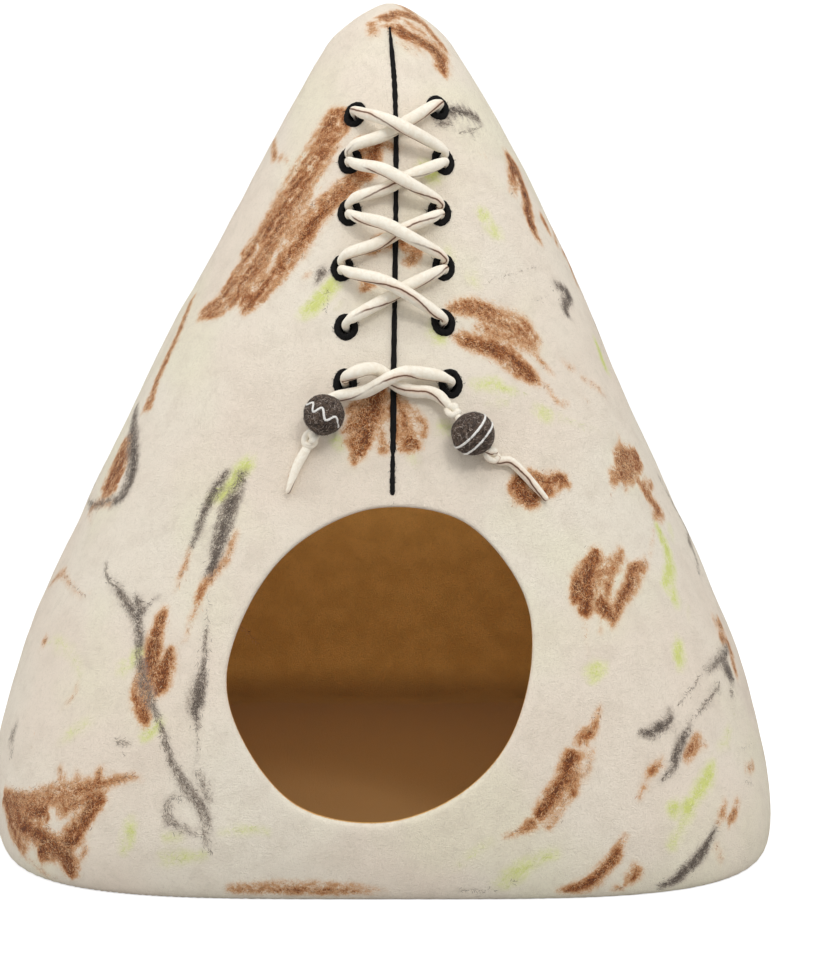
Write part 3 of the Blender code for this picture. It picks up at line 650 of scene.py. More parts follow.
LIME_STROKES = (
    (0.5, ((48, 641, 4), (58, 643, 6), (70, 650, 6), (77, 662, 6), (79, 676, 5))),
    (0.8, ((250, 460, 5), (240, 474, 12), (228, 492, 14), (214, 500, 8))),
    (0.7, ((133, 660, 6), (139, 654, 10), (146, 656, 6))),
    (0.4, ((122, 667, 8), (126, 672, 6))),
    (0.5, ((90, 722, 5), (78, 730, 6), (62, 738, 6))),
    (0.6, ((160, 722, 6), (150, 732, 8), (138, 738, 6))),
    (0.6, ((132, 822, 5), (129, 835, 8), (125, 850, 6))),
    (0.5, ((166, 840, 8), (180, 838, 8))),
    (0.6, ((164, 858, 8), (185, 857, 8), (205, 854, 5))),
    (0.5, ((222, 832, 3), (245, 830, 6), (266, 831, 3))),
    (0.8, ((334, 283, 9), (326, 292, 9), (312, 308, 12), (303, 314, 6))),
    (0.3, ((339, 303, 4), (335, 312, 4))),
    (0.8, ((482, 213, 10), (484, 218, 8))),
    (0.5, ((487, 227, 7), (498, 233, 9))),
    (0.7, ((424, 166, 10), (430, 172, 14), (434, 180, 8))),
    (0.35, ((447, 253, 8), (452, 258, 6))),
    (0.25, ((470, 277, 10), (478, 284, 8))),
    (0.7, ((432, 329, 8), (438, 336, 12), (444, 340, 8))),
    (0.5, ((474, 386, 6), (493, 383, 9), (506, 389, 6), (528, 393, 3))),
    (0.35, ((490, 407, 5), (513, 402, 5))),
    (0.7, ((536, 409, 6), (543, 413, 9), (552, 416, 6))),
    (0.4, ((560, 418, 6), (577, 424, 3), (598, 431, 3))),
    (0.55, ((595, 341, 6), (600, 352, 8), (604, 364, 8), (609, 371, 4))),
    (0.6, ((658, 526, 5), (663, 539, 7), (667, 552, 10), (670, 566, 11), (668, 578, 12), (665, 586, 8))),
    (0.4, ((670, 528, 5), (673, 540, 4))),
    (0.6, ((674, 599, 7), (675, 602, 5))),
    (0.3, ((688, 607, 3), (688, 620, 3))),
    (0.65, ((680, 640, 4), (679, 655, 9), (680, 665, 5))),
    (0.7, ((603, 667, 5), (597, 670, 9), (591, 677, 11))),
    (0.35, ((733, 713, 3),)),
    (0.5, ((730, 728, 4), (726, 740, 5), (717, 750, 3))),
    (0.9, ((713, 762, 4), (711, 770, 7), (704, 782, 10), (694, 796, 7), (686, 811, 9), (681, 826, 5),
        (671, 842, 8))),
    (0.7, ((673, 807, 9), (675, 812, 6))),
    (0.5, ((553, 854, 8), (543, 856, 7))),
    (0.35, ((491, 840, 6), (480, 849, 6), (455, 864, 5))),
    (0.7, ((555, 855, 7), (532, 863, 7), (519, 873, 12), (505, 882, 9), (497, 886, 6))),
    (0.5, ((410, 456, 6), (416, 464, 4))),
    (0.4, ((336, 438, 8), (340, 446, 6))),
    (0.4, ((444, 426, 10), (440, 432, 6))),
)
SIDE_TUFTS = (  # wool, tufts, strokes in a tuft, widest in millimetres, how far apart they lie
    ("rust", 12, 5, 20, 0.0060), ("charcoal", 8, 3, 9, 0.0050), ("lime", 10, 2, 8, 0.0100),
)
HAZE_REACH = 0.0105
PICTURE_WIDTH, PICTURE_HEIGHT = 835.0, 957.0
VIEW_MIDDLE = np.array((382.0, 478.5))  # the pixel of the picture that the camera points at
FOCAL_LENGTH = 1982.0  # in pixels
EYE = np.array((0.0, -1.5, 0.456))
LOOKING_DOWN = 0.1395
NUDGE, LONGEST_STEP = 0.0001, 0.02  # of the search for a stroke's places, which ends at
CLOSE_ENOUGH = 0.01  # of a pixel
LOWEST_PLACE, HIGHEST_PLACE, WIDEST_PLACE = 0.002, 0.597, 0.985  # heights, and share of the half width
STROKE_WIDENING, MOST_SLANTED = 1.12, 2.2


def seen_at(across, height):
    """The pixels of the picture at which the camera sees places of the front wall."""
    aside, away, above = (front_point(across, height) - EYE).T
    depth = away * math.cos(LOOKING_DOWN) - above * math.sin(LOOKING_DOWN)
    rise = above * math.cos(LOOKING_DOWN) + away * math.sin(LOOKING_DOWN)
    return VIEW_MIDDLE + FOCAL_LENGTH * np.column_stack([aside, -rise]) / depth[:, None]


def wall_strokes(strokes):
    """Strokes of the picture as they lie on the wall: across, height and width in whole millimetres."""
    pixels = np.array([place for _, places in strokes for place in places])
    # The search starts from an upright wall and takes small steps that stay on the form.
    across = (pixels[:, 0] - VIEW_MIDDLE[0]) / 1480
    height = np.clip((880 - pixels[:, 1]) / 1440, 0.004, 0.592)
    for _ in range(60):
        missed = pixels[:, :2] - seen_at(across, height)
        aside = (pixels[:, :2] - seen_at(across + NUDGE, height) - missed) / -NUDGE
        upwards = (pixels[:, :2] - seen_at(across, height + NUDGE) - missed) / -NUDGE
        step = np.linalg.solve(np.stack([aside, upwards], axis=2), missed[..., None])[..., 0]
        step = np.clip(step, -LONGEST_STEP, LONGEST_STEP)
        step *= (np.abs(missed).sum(axis=1) >= CLOSE_ENOUGH)[:, None]
        height = np.clip(height + step[:, 1], LOWEST_PLACE, HIGHEST_PLACE)
        shift, reach = section_value("shift", height), WIDEST_PLACE * half_sizes(height)[0]
        across = np.clip(across + step[:, 0], shift - reach, shift + reach)
    # A millimetre of the wall has more pixels near the base, and fewer where the wall turns away.
    slant = front_point(across + NUDGE, height) - front_point(across - NUDGE, height)
    slant = np.minimum(np.linalg.norm(slant, axis=1) / (2 * NUDGE), MOST_SLANTED)
    width = STROKE_WIDENING * pixels[:, 2] / (1.40 + (0.55 - height) * 0.31) * np.sqrt(slant)
    found = np.round(np.column_stack([across * 1000, height * 1000, np.maximum(width, 1)]))
    made = []
    for density, places in strokes:
        rows, found = found[:len(places)], found[len(places):]
        moved = np.append(True, np.any(rows[1:, :2] != rows[:-1, :2], axis=1))
        rows = rows[moved] if moved.sum() > 1 else np.array([rows[0], rows[0] + (1, 2, 0)])
        made.append((density, rows))
    return made


def ring_point(turn, height):
    """The point of the outer form at an angle from the front, to the right, and a height."""
    half_width, half_depth = half_sizes(height)
    power = section_value("squareness", height)
    sine, cosine = np.sin(turn), np.cos(turn)
    reach = (np.abs(sine / half_width) ** power + np.abs(cosine / half_depth) ** power) ** (-1 / power)
    return np.array((section_value("shift", height) + reach * sine, -reach * cosine, height))


def strands(rows, density, rng):
    """A tuft's strands, which run side by side along it: places, widths, densities and depths of tint."""
    points, widths = rows[:, :3], np.maximum(rows[:, 3], 0.001)
    run = np.gradient(points, axis=0)
    run /= np.maximum(np.linalg.norm(run, axis=1, keepdims=True), 1e-9)
    across = np.cross(points - HOLLOW_MIDDLE, run)
    across /= np.linalg.norm(across, axis=1, keepdims=True)
    made = []
    spare = np.maximum(1.08 * widths - 0.0018, 0.25 * widths)
    for _ in range(max(2, int(widths.max() / 0.0011))):
        place = rng.uniform(-0.5, 0.5) + 0.10 * np.sin(
            np.linspace(0, rng.uniform(1, 4), len(rows)) + rng.uniform(0, 6))
        first = int(len(rows) * rng.uniform(-0.35, 0.45))
        last = int(len(rows) * rng.uniform(0.55, 1.35))
        kept = slice(max(0, first), max(max(0, first) + 2, min(len(rows), last)))
        strand = points[kept] + across[kept] * (place * spare)[kept, None]
        edge = abs(place).mean() * 2
        thinned = density * (1.15 - 0.6 * edge) * rng.uniform(0.35, 1.15)
        strand_widths = np.minimum(0.6 * widths[kept], rng.uniform(0.0012, 0.0030))
        tints = thinned * np.clip(widths[kept] / 0.0075, 0.38, 1)
        made.append((strand, strand_widths, thinned, edge, tints))
    return made


def front_and_back_tufts(table, rng):
    """The strands of the table's tufts on the front, and of tufts of the same kind on the back."""
    made = []
    for density, places, face in [(*row, face) for row in wall_strokes(table) for face in (-1, 1)]:
        rows = spline(places / 1000, 6)
        points = front_point(rows[:, 0], np.clip(rows[:, 1], 0.002, 0.598))
        if face > 0:
            points[:, :2] *= -1
        made += strands(np.column_stack([points, rows[:, 2]]), density ** 0.7, rng)
    return made


strewing = np.random.default_rng(11)
tufts = {
    colour: front_and_back_tufts(table, strewing) for colour, table in (
        ("rust", RUST_STROKES), ("charcoal", CHARCOAL_STROKES), ("lime", LIME_STROKES))
}
for colour, count, parts, widest, apart in SIDE_TUFTS:
    for k in range(count):
        # Two in three lie on the sides, and the others low on the middle of the back.
        first_turn = (1.75, -1.75, math.pi)[k % 3] + strewing.uniform(-0.3, 0.3)
        first_height = strewing.uniform(0.07, 0.27 if k % 3 == 2 else 0.45)
        lean = strewing.choice((-1.0, -2.1)) + strewing.normal(0, 0.25)
        for part in range(parts):
            turn = first_turn + strewing.normal(0, apart) / 0.2
            height = first_height + strewing.normal(0, 4 * apart)
            heading = lean + strewing.normal(0, 0.10)
            pace = strewing.uniform(0.007, 0.016)
            places = []
            for width in strewing.uniform(0.4, 1) * widest * np.array((0.2, 0.7, 1.0, 0.9, 0.7, 0.25)):
                point = ring_point(turn, np.clip(height, 0.006, 0.59))
                places.append((*point, width / 1000))
                heading += strewing.normal(0, 0.2)
                turn += pace * math.cos(heading) / max(0.08, np.hypot(*point[:2]))
                height += pace * math.sin(heading)
            tufts[colour] += strands(spline(places, 5), strewing.uniform(0.4, 1.0), strewing)

shell_tree = BVHTree.FromPolygons(
    [v.co for v in shell_mesh.vertices], [p.vertices[:] for p in shell_mesh.polygons])
shell_places = KDTree(len(shell_mesh.vertices))
for vert in shell_mesh.vertices:
    shell_places.insert(vert.co, vert.index)
shell_places.balance()
wool = np.zeros((len(shell_mesh.vertices), 4))
for channel, colour in enumerate(("rust", "charcoal", "lime")):
    for points, widths, _, _, tints in tufts[colour]:
        for point, width, tint in zip(points, widths, tints):
            reach = (1.6 * width + 0.0040) if colour == "lime" else (width + 0.0032)
            for _, index, distance in shell_places.find_range(point, max(reach, HAZE_REACH)):
                haze = 0.30 * tint * (1 - distance / HAZE_REACH)
                wool[index, channel] = max(wool[index, channel], haze, 1.2 * tint * (1 - distance / reach))
wool_layer = shell_mesh.attributes.new("wool", "FLOAT_COLOR", "POINT")
wool_layer.data.foreach_set("color", wool.ravel().astype(np.float32))


def fibre_piece(name, starts, headings, lengths, width, curl, lift, colours, tree, seed, steps=5):
    """Flat curled fibres on a surface as one piece, each with its own colour."""
    rng = np.random.default_rng(seed)
    count = len(starts)
    places = np.empty((count, steps + 1, 3))
    outs = np.empty((count, steps + 1, 3))
    place, heading = np.array(starts, float), np.array(headings, float)
    turning = rng.normal(0, curl, count)
    rise = lift[0] + (lift[1] - lift[0]) * rng.random(count) ** 2
    for step in range(steps + 1):
        for k in range(count):
            hit, normal, _, _ = tree.find_nearest(place[k])
            place[k], outs[k, step] = hit, normal
        places[:, step] = place + outs[:, step] * rise[:, None]
        heading -= outs[:, step] * np.sum(heading * outs[:, step], axis=1, keepdims=True)
        heading /= np.maximum(np.linalg.norm(heading, axis=1, keepdims=True), 1e-6)
        side = np.cross(outs[:, step], heading)
        turning = 0.7 * turning + rng.normal(0, curl, count)
        heading = heading * np.cos(turning)[:, None] + side * np.sin(turning)[:, None]
        place = place + heading * (lengths / steps)[:, None]
    run = np.gradient(places, axis=1)
    side = np.cross(outs, run)
    side /= np.maximum(np.linalg.norm(side, axis=2, keepdims=True), 1e-9)
    taper = width / 2 * np.minimum(1, 0.3 + 2.2 * np.sin(np.linspace(0, math.pi, steps + 1)))
    half = side * taper[None, :, None] * rng.uniform(0.7, 1.3, count)[:, None, None]
    edges = np.stack([places - half, places + half], axis=1).reshape(-1, 3)

    bm = bmesh.new()
    bmesh.ops.create_grid(bm, x_segments=steps, y_segments=2 * count - 1, size=1.0)
    bm.faces.ensure_lookup_table()
    gaps = [f for f in bm.faces if (f.index // steps) % 2]
    bmesh.ops.delete(bm, geom=gaps, context="FACES_ONLY")
    loose = [e for e in bm.edges if not e.link_faces]
    bmesh.ops.delete(bm, geom=loose, context="EDGES_FACES")
    mesh = bpy.data.meshes.new(name)
    bm.to_mesh(mesh)
    bm.free()
    mesh.vertices.foreach_set("co", edges.ravel())
    mesh.update()
    layer = mesh.attributes.new("shade", "FLOAT_COLOR", "POINT")
    picked = np.ones((count, 4))
    picked[:, :3] = colours * rng.uniform(0.75, 1.25, count)[:, None]
    layer.data.foreach_set("color", np.repeat(picked, 2 * (steps + 1), axis=0).ravel().astype(np.float32))
    obj = bpy.data.objects.new(name, mesh)
    bpy.context.scene.collection.objects.link(obj)
    mesh.materials.append(fibre_felt)
    return obj


fibre_felt = bpy.data.materials.new("loose_wool_fibres")
fibre_felt.use_nodes = True
tree = fibre_felt.node_tree
shade = add_node(tree, "Attribute", attribute_name="shade")
surface = tree.nodes["Principled BSDF"]
tree.links.new(shade.outputs["Color"], surface.inputs["Base Color"])
surface.inputs["Roughness"].default_value = 0.85
surface.inputs["Sheen Weight"].default_value = 0.05


def tuft_fibres(colour, per_area, length, width, curl, seed, shades, pale):
    """The fibres of all the tufts of one wool, paler where the tuft is thin."""
    rng = np.random.default_rng(seed)
    starts, headings, paleness = [], [], []
    for points, widths, density, edge, _ in tufts[colour]:
        run = np.diff(points, axis=0)
        length_here = np.linalg.norm(run, axis=1)
        area = length_here * (widths[1:] + widths[:-1]) / 2
        number = rng.poisson(area.sum() * density * per_area)
        pick = rng.choice(len(run), number, p=area / area.sum())
        along = run[pick] / length_here[pick][:, None]
        across = np.cross(points[pick] - HOLLOW_MIDDLE, along)
        across /= np.linalg.norm(across, axis=1, keepdims=True)
        offset = rng.normal(0, 0.36, number) * widths[pick]
        offset += rng.normal(0, 0.0022, number) * (rng.random(number) < 0.2)
        start = points[pick] + run[pick] * rng.random(number)[:, None] + across * offset[:, None]
        starts.append(start - along * length * 0.45)
        swing = rng.normal(0, 0.30, number)[:, None]
        headings.append(along * np.cos(swing) + across * np.sin(swing))
        paleness.append(np.clip(edge * 0.55 + (1 - density) * 0.45 + rng.normal(-0.1, 0.25, number), 0, 1))
    starts, headings, paleness = (np.concatenate(rows) for rows in (starts, headings, paleness))
    lengths = length * rng.uniform(0.4, 1.4, len(starts))
    colours = np.array(shades)[rng.integers(0, len(shades), len(starts))]
    colours = colours + (np.array(pale) - colours) * paleness[:, None]
    piece = fibre_piece(
        colour + "_fibres", starts, headings, lengths, width, curl, FIBRE_LIFT, colours, shell_tree,
        seed, steps=2)
    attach(piece, "root")


FIBRE_LIFT = (0.00005, 0.00025)
tuft_fibres(
    "rust", per_area=330000, length=0.0028, width=0.00028, curl=0.36, seed=21, pale=(0.76, 0.50, 0.28),
    shades=((0.22, 0.066, 0.020), (0.10, 0.030, 0.012), (0.42, 0.140, 0.036), (0.54, 0.21, 0.060),
            (0.70, 0.38, 0.16)))
tuft_fibres(
    "charcoal", per_area=820000, length=0.0028, width=0.00025, curl=0.36, seed=22,
    pale=(0.38, 0.31, 0.245), shades=((0.035, 0.026, 0.021), (0.08, 0.059, 0.048), (0.17, 0.13, 0.10)))
tuft_fibres(
    "lime", per_area=130000, length=0.0036, width=0.00022, curl=0.34, seed=23, pale=(0.77, 0.77, 0.45),
    shades=((0.64, 0.69, 0.18),))


# ---- Black yarn line ----
# A strand of black wool yarn laid from the tip down to the entrance, where the front seems to be
# slit and laced. It was needled flat on the felt and thickens in two lumps at its lower end.

LINE_PLACES = (  # across, height, width in millimetres
    (5.6, 579, 1.2), (6.0, 574, 2.0), (7.2, 560, 3.2), (8.4, 545, 3.9), (9.3, 528, 3.7), (9.8, 505, 3.6),
    (9.8, 480, 3.9), (9.6, 450, 3.6), (9.2, 420, 3.8), (8.7, 386, 3.6), (8.1, 352, 3.9), (7.8, 330, 4.1),
    (7.6, 305, 4.2), (7.4, 291, 3.8), (7.3, 286.5, 2.5), (7.2, 282, 3.3), (7.1, 277.5, 3.5), (7.0, 274, 2.9),
    (7.0, 270, 3.6), (7.0, 265, 3.9), (7.0, 262, 3.2),
)
LINE_LIFT, LINE_HALF_DEPTH = 0.0003, 0.0012


def lay_tube(bm, points, outs, wide, deep, sides, closed=False, seam=None):
    """A tube along points, with its half widths across and along the outward directions.

    A seam, given as a direction at each point, is written as a map: the distance from it round the
    tube, and the cosine of the angle from it.
    """
    points, outs = np.array(points, float), np.array(outs, float)
    wide, deep = np.broadcast_to(wide, len(points)).copy(), np.broadcast_to(deep, len(points)).copy()
    if closed:
        run = np.roll(points, -1, axis=0) - np.roll(points, 1, axis=0)
        points, outs, run = (np.concatenate([a, a[:1]]) for a in (points, outs, run))
        wide, deep = np.append(wide, wide[0]), np.append(deep, deep[0])
    else:
        run = np.gradient(points, axis=0)
    run /= np.linalg.norm(run, axis=1, keepdims=True)
    if not closed:
        # Three shrinking rings round off each end.
        lean = np.radians((90, 60, 30))
        size = np.maximum(np.cos(lean), 1e-5)
        before = points[0] - np.outer(np.sin(lean), run[0]) * wide[0]
        beyond = points[-1] + np.outer(np.sin(lean), run[-1]) * wide[-1]
        points = np.concatenate([before, points, beyond[::-1]])
        deep = np.concatenate([size * deep[0], deep, size[::-1] * deep[-1]])
        wide = np.concatenate([size * wide[0], wide, size[::-1] * wide[-1]])
        outs, run = (np.concatenate([rows[:1]] * 3 + [rows] + [rows[-1:]] * 3) for rows in (outs, run))
    outs = outs - run * np.sum(outs * run, axis=1, keepdims=True)
    outs /= np.linalg.norm(outs, axis=1, keepdims=True)
    aside = np.cross(run, outs)
    angle = np.linspace(-math.pi, math.pi, sides + 1)
    rings = (points[:, None] + outs[:, None] * (np.cos(angle)[None, :, None] * deep[:, None, None])
             + aside[:, None] * (np.sin(angle)[None, :, None] * wide[:, None, None]))
    grid = bmesh.ops.create_grid(bm, x_segments=sides, y_segments=len(points) - 1, size=1.0)["verts"]
    if seam is not None:
        seam = np.concatenate([seam[:1]] * 3 + [seam] + [seam[-1:]] * 3)
        turned = np.arctan2(np.sum(seam * aside, axis=1), np.sum(seam * outs, axis=1))
        apart = (angle[None, :] - turned[:, None] + math.pi) % (2 * math.pi) - math.pi
        seam_map = bm.loops.layers.uv.get("seam_map") or bm.loops.layers.uv.new("seam_map")
    rows = {vert: divmod(k, sides + 1) for k, vert in enumerate(grid)}
    for vert, (row, column) in rows.items():
        vert.co = rings[row, column]
    for face in {face for vert in grid for face in vert.link_faces}:
        face.smooth = True
        if seam is not None:
            for loop in face.loops:
                row, column = rows[loop.vert]
                loop[seam_map].uv = (apart[row, column] * wide[row], math.cos(apart[row, column]))
    bmesh.ops.remove_doubles(bm, verts=grid, dist=0.00002)


def finish_piece(bm, name, material):
    """Turn a bmesh into an object with one material."""
    bmesh.ops.recalc_face_normals(bm, faces=bm.faces)
    mesh = bpy.data.meshes.new(name)
    bm.to_mesh(mesh)
    bm.free()
    mesh.materials.append(material)
    obj = bpy.data.objects.new(name, mesh)
    bpy.context.scene.collection.objects.link(obj)
    return obj


def wool_material(name, dark, light, grain, bump):
    """Matt wool whose colour is mottled between two shades."""
    material = bpy.data.materials.new(name)
    material.use_nodes = True
    tree = material.node_tree
    place = add_node(tree, "TexCoord").outputs["Object"]
    speckle = add_node(tree, "TexNoise", {"Vector": place, "Scale": grain, "Detail": 4.0, "Distortion": 1.2})
    share = add_node(tree, "MapRange", {"Value": speckle.outputs["Fac"], "From Min": 0.35, "From Max": 0.65})
    colour = add_node(tree, "Mix", data_type="RGBA", inputs={
        0: share.outputs["Result"], 6: (*dark, 1), 7: (*light, 1)})
    relief = add_node(tree, "Bump", {"Height": speckle.outputs["Fac"], "Strength": bump, "Distance": 0.0006})
    surface = tree.nodes["Principled BSDF"]
    tree.links.new(colour.outputs[2], surface.inputs["Base Color"])
    tree.links.new(relief.outputs["Normal"], surface.inputs["Normal"])
    surface.inputs["Roughness"].default_value = 0.9
    surface.inputs["Specular IOR Level"].default_value = 0.15
    surface.inputs["Sheen Weight"].default_value = 0.04
    return material


black_wool = wool_material("black_yarn", (0.003, 0.003, 0.003), (0.011, 0.010, 0.010), 900, 0.8)
black_wool.node_tree.nodes["Principled BSDF"].inputs["Sheen Weight"].default_value = 0.0
line_rows = spline(LINE_PLACES, 7) / 1000
line_points = front_point(line_rows[:, 0], line_rows[:, 1])
line_outs = form_normals(line_points)
ragged = np.random.default_rng(5).uniform(0.86, 1.16, len(line_rows))
line_bm = bmesh.new()
lay_tube(
    line_bm, line_points + line_outs * LINE_LIFT, line_outs, line_rows[:, 2] / 2 * ragged,
    LINE_HALF_DEPTH, 10)
front_line = finish_piece(line_bm, "black_line", black_wool)
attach(front_line, "root")
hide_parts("front_line")


# ---- Lace eyelets ----
# Twelve holes cut through the wall in two rows. Each edge is overcast with black wool yarn, which
# makes a soft ring, and a few of its fibres stray on the cream felt.

RING_HALF_WIDTH, RING_HALF_HEIGHT = 0.0062, 0.0080
RING_LIFT = 0.0006
RING_YARN_WIDTH, RING_YARN_DEPTH = 0.0024, 0.0015
RING_STITCHES = 15
STRAY_FIBRES = 34


def wall_frame(across, height):
    """A point of the front wall with its directions to the right, up the wall and outwards."""
    point = front_point(np.array([across]), np.array([height]))
    out = form_normals(point)[0]
    right = np.cross((0.0, 0.0, 1.0), -out)
    right /= np.linalg.norm(right)
    right *= np.sign(right[0])
    up = np.cross(out, right)
    return point[0], right, up * np.sign(up[2]), out


stitching = np.random.default_rng(8)
ring_bm = bmesh.new()
ring_starts, ring_headings = [], []
for place in EYELETS.values():
    point, right, up, out = wall_frame(*place)
    angle = np.linspace(0, 2 * math.pi, 46)[:-1]
    sized = stitching.uniform(0.94, 1.06)
    reach = 1 + 0.035 * np.sin(2 * angle + stitching.uniform(0, 6))
    reach += 0.02 * np.sin(5 * angle + stitching.uniform(0, 6))
    reach *= sized
    path = (point + np.outer(np.cos(angle) * RING_HALF_WIDTH * reach, right)
            + np.outer(np.sin(angle) * RING_HALF_HEIGHT * reach, up) + out * RING_LIFT)
    around = path - point
    around /= np.linalg.norm(around, axis=1, keepdims=True)
    stitch = 0.88 + 0.16 * np.abs(np.sin(angle * RING_STITCHES / 2 + stitching.uniform(0, 3)))
    lay_tube(
        ring_bm, path, around * 0.4 + out, RING_YARN_WIDTH * stitch, RING_YARN_DEPTH * stitch, 8, closed=True)
    # The yarn lines the hole too. Behind the wall it narrows into a black funnel: partly yarn, and partly
    # painted shade that hides the lining of the hollow seen through the hole.
    bmesh.ops.create_cone(
        ring_bm, cap_ends=False, segments=24, radius1=0.36, radius2=1.0, depth=1.0,
        matrix=Matrix.Translation(point - out * (WALL_THICKNESS / 2 + 0.0004)) @ Matrix(
            (right, up, out)).transposed().to_4x4() @ Matrix.Diagonal(
            (HOLE_HALF_WIDTH - 0.0002, HOLE_HALF_HEIGHT - 0.0002, WALL_THICKNESS + 0.002, 1)))
    for turn in stitching.uniform(0, 2 * math.pi, STRAY_FIBRES):
        away = math.cos(turn) * right + math.sin(turn) * up
        ring_starts.append(point + away * 0.0075 + out * 0.001)
        ring_headings.append(away + 0.8 * stitching.normal() * np.cross(out, away))
eyelets = finish_piece(ring_bm, "eyelet_rings", black_wool)
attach(eyelets, "root")
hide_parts(*["eyelet_ring_" + name for name in EYELETS])
for start in line_points:
    ring_starts.append(start)
    ring_headings.append(np.array((0, 0, stitching.choice((-1, 1)))) + stitching.normal(0, 0.4, 3))
stray = fibre_piece(
    "stray_black_fibres", ring_starts, ring_headings,
    0.0032 * stitching.uniform(0.3, 1.3, len(ring_starts)), 0.00022, 0.45, (0.0001, 0.0010),
    np.full((len(ring_starts), 3), 0.02), shell_tree, 24)
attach(stray, "root")


# ---- Felt lace ----
# One cord of cream felt, 9 mm thick, rolled with a thin seam of brown wool along it. It crosses
# from hole to hole down the front with bars inside, and ends in a half knot with two free tails.
# It is made as two halves that meet in the middle of the top bar. In the tables of its route, girth
# is the cord's local thickness over its full thickness.

LACE_THICKNESS = 0.009
SHARED_ROWS = "234"
SHARED_HOLE_SPREAD = 0.0029
EYELET_PASS_STRAIGHT = (  # away from the eyelet's middle, lift off the wall, girth
    (0.0000, -0.0105, 0.60), (0.0000, -0.0030, 0.60), (0.0000, 0.0046, 0.60),
)
EYELET_PASS_BEND = ((0.0022, 0.0084, 0.62), (0.0085, 0.0096, 0.90))
BAR_GIRTH = 0.78
TOP_BAR_DEPTH = 0.0135
TOP_BAR_MIDDLE_DEPTH = 0.0160
TOP_BAR_GAP = 0.0010
TOP_BAR_BEND = 0.006
CROSSING_LENGTH = 0.018
LEFT_TIE = (  # across, height, lift, girth
    (0.0430, 0.3335, 0.0080, 0.66), (0.0385, 0.3350, 0.0088, 0.88), (0.0320, 0.3368, 0.0074, 1.00),
    (0.0230, 0.3375, 0.0090, 1.00), (0.0145, 0.3360, 0.0146, 1.00), (0.0065, 0.3324, 0.0174, 1.00),
    (-0.0013, 0.3288, 0.0146, 1.00), (-0.0086, 0.3262, 0.0094, 1.00), (-0.0160, 0.3246, 0.0072, 1.00),
    (-0.0233, 0.3234, 0.0074, 0.95), (-0.0297, 0.3220, 0.0088, 0.85), (-0.0339, 0.3195, 0.0115, 0.70),
    (-0.0358, 0.3150, 0.0140, 0.60), (-0.0376, 0.3086, 0.0143, 0.60), (-0.0418, 0.3020, 0.0125, 0.60),
    (-0.0472, 0.2952, 0.0062, 1.10), (-0.0500, 0.2893, 0.0042, 0.70), (-0.0530, 0.2840, 0.0042, 0.74),
    (-0.0564, 0.2778, 0.0042, 0.70), (-0.0596, 0.2695, 0.0038, 0.58), (-0.0623, 0.2619, 0.0032, 0.40),
)
RIGHT_TIE = (
    (-0.0246, 0.3332, 0.0100, 0.66), (-0.0224, 0.3336, 0.0152, 0.84), (-0.0168, 0.3356, 0.0168, 1.00),
    (-0.0104, 0.3382, 0.0146, 1.00), (-0.0040, 0.3392, 0.0106, 1.00), (0.0022, 0.3366, 0.0074, 1.00),
    (0.0074, 0.3320, 0.0066, 1.00), (0.0140, 0.3280, 0.0060, 1.00), (0.0220, 0.3262, 0.0052, 1.00),
    (0.0306, 0.3256, 0.0056, 1.00), (0.0377, 0.3225, 0.0070, 0.95), (0.0427, 0.3170, 0.0085, 0.72),
    (0.0462, 0.3120, 0.0090, 1.10), (0.0512, 0.3046, 0.0138, 0.60), (0.0583, 0.2956, 0.0151, 0.60),
    (0.0652, 0.2888, 0.0130, 0.60), (0.0718, 0.2836, 0.0068, 1.05), (0.0776, 0.2806, 0.0046, 0.70),
    (0.0857, 0.2794, 0.0046, 0.72), (0.0944, 0.2714, 0.0042, 0.70), (0.1025, 0.2627, 0.0038, 0.62),
    (0.1094, 0.2554, 0.0032, 0.45),
)
# An overhand knot as the tie's lumps hold it: along the cord, aside and outwards, in strand radii.
OVERHAND_KNOT = np.array((
    (-3.0, 0.0, 0.2), (-1.5, -0.4, 1.0), (0.5, -1.4, -0.9), (2.0, -0.9, 1.0), (1.9, 0.9, 0.7),
    (0.0, 1.6, 0.2), (-1.9, 0.9, -0.3), (-2.0, -0.9, -0.8), (-0.5, -1.4, 1.3), (1.5, -0.4, -0.8),
    (3.0, 0.0, 0.2),
))
KNOT_LUMP_GIRTH = 1.04
KNOT_REACH = 3.2
KNOT_STRAND_GIRTH = 1.22


def unit(vector):
    """A direction of length one."""
    return vector / np.linalg.norm(vector)


def hole_level(name, way):
    """How far above an eyelet's middle the lace passes, as a shared eyelet holds two strands."""
    spread = SHARED_HOLE_SPREAD if name[1] in SHARED_ROWS else 0.0
    return spread if way == "in" else -spread


def eyelet_pass(name, towards, way):
    """Rows of the lace from behind an eyelet to its front, where it heads for another place."""
    middle = np.array(EYELETS[name])
    heading = unit(towards - middle)
    middle[1] += hole_level(name, way)
    return [
        (*(middle + heading * away), lift, girth)
        for away, lift, girth in EYELET_PASS_STRAIGHT + EYELET_PASS_BEND
    ]


def hidden_bar(start, end, bend, depth):
    """Rows of the lace behind the wall, from under one eyelet to under another."""
    heading = unit(end - start) * bend
    return [
        (*place, -depth, BAR_GIRTH) for place in (start + heading, (start + end) / 2, end - heading)
    ]


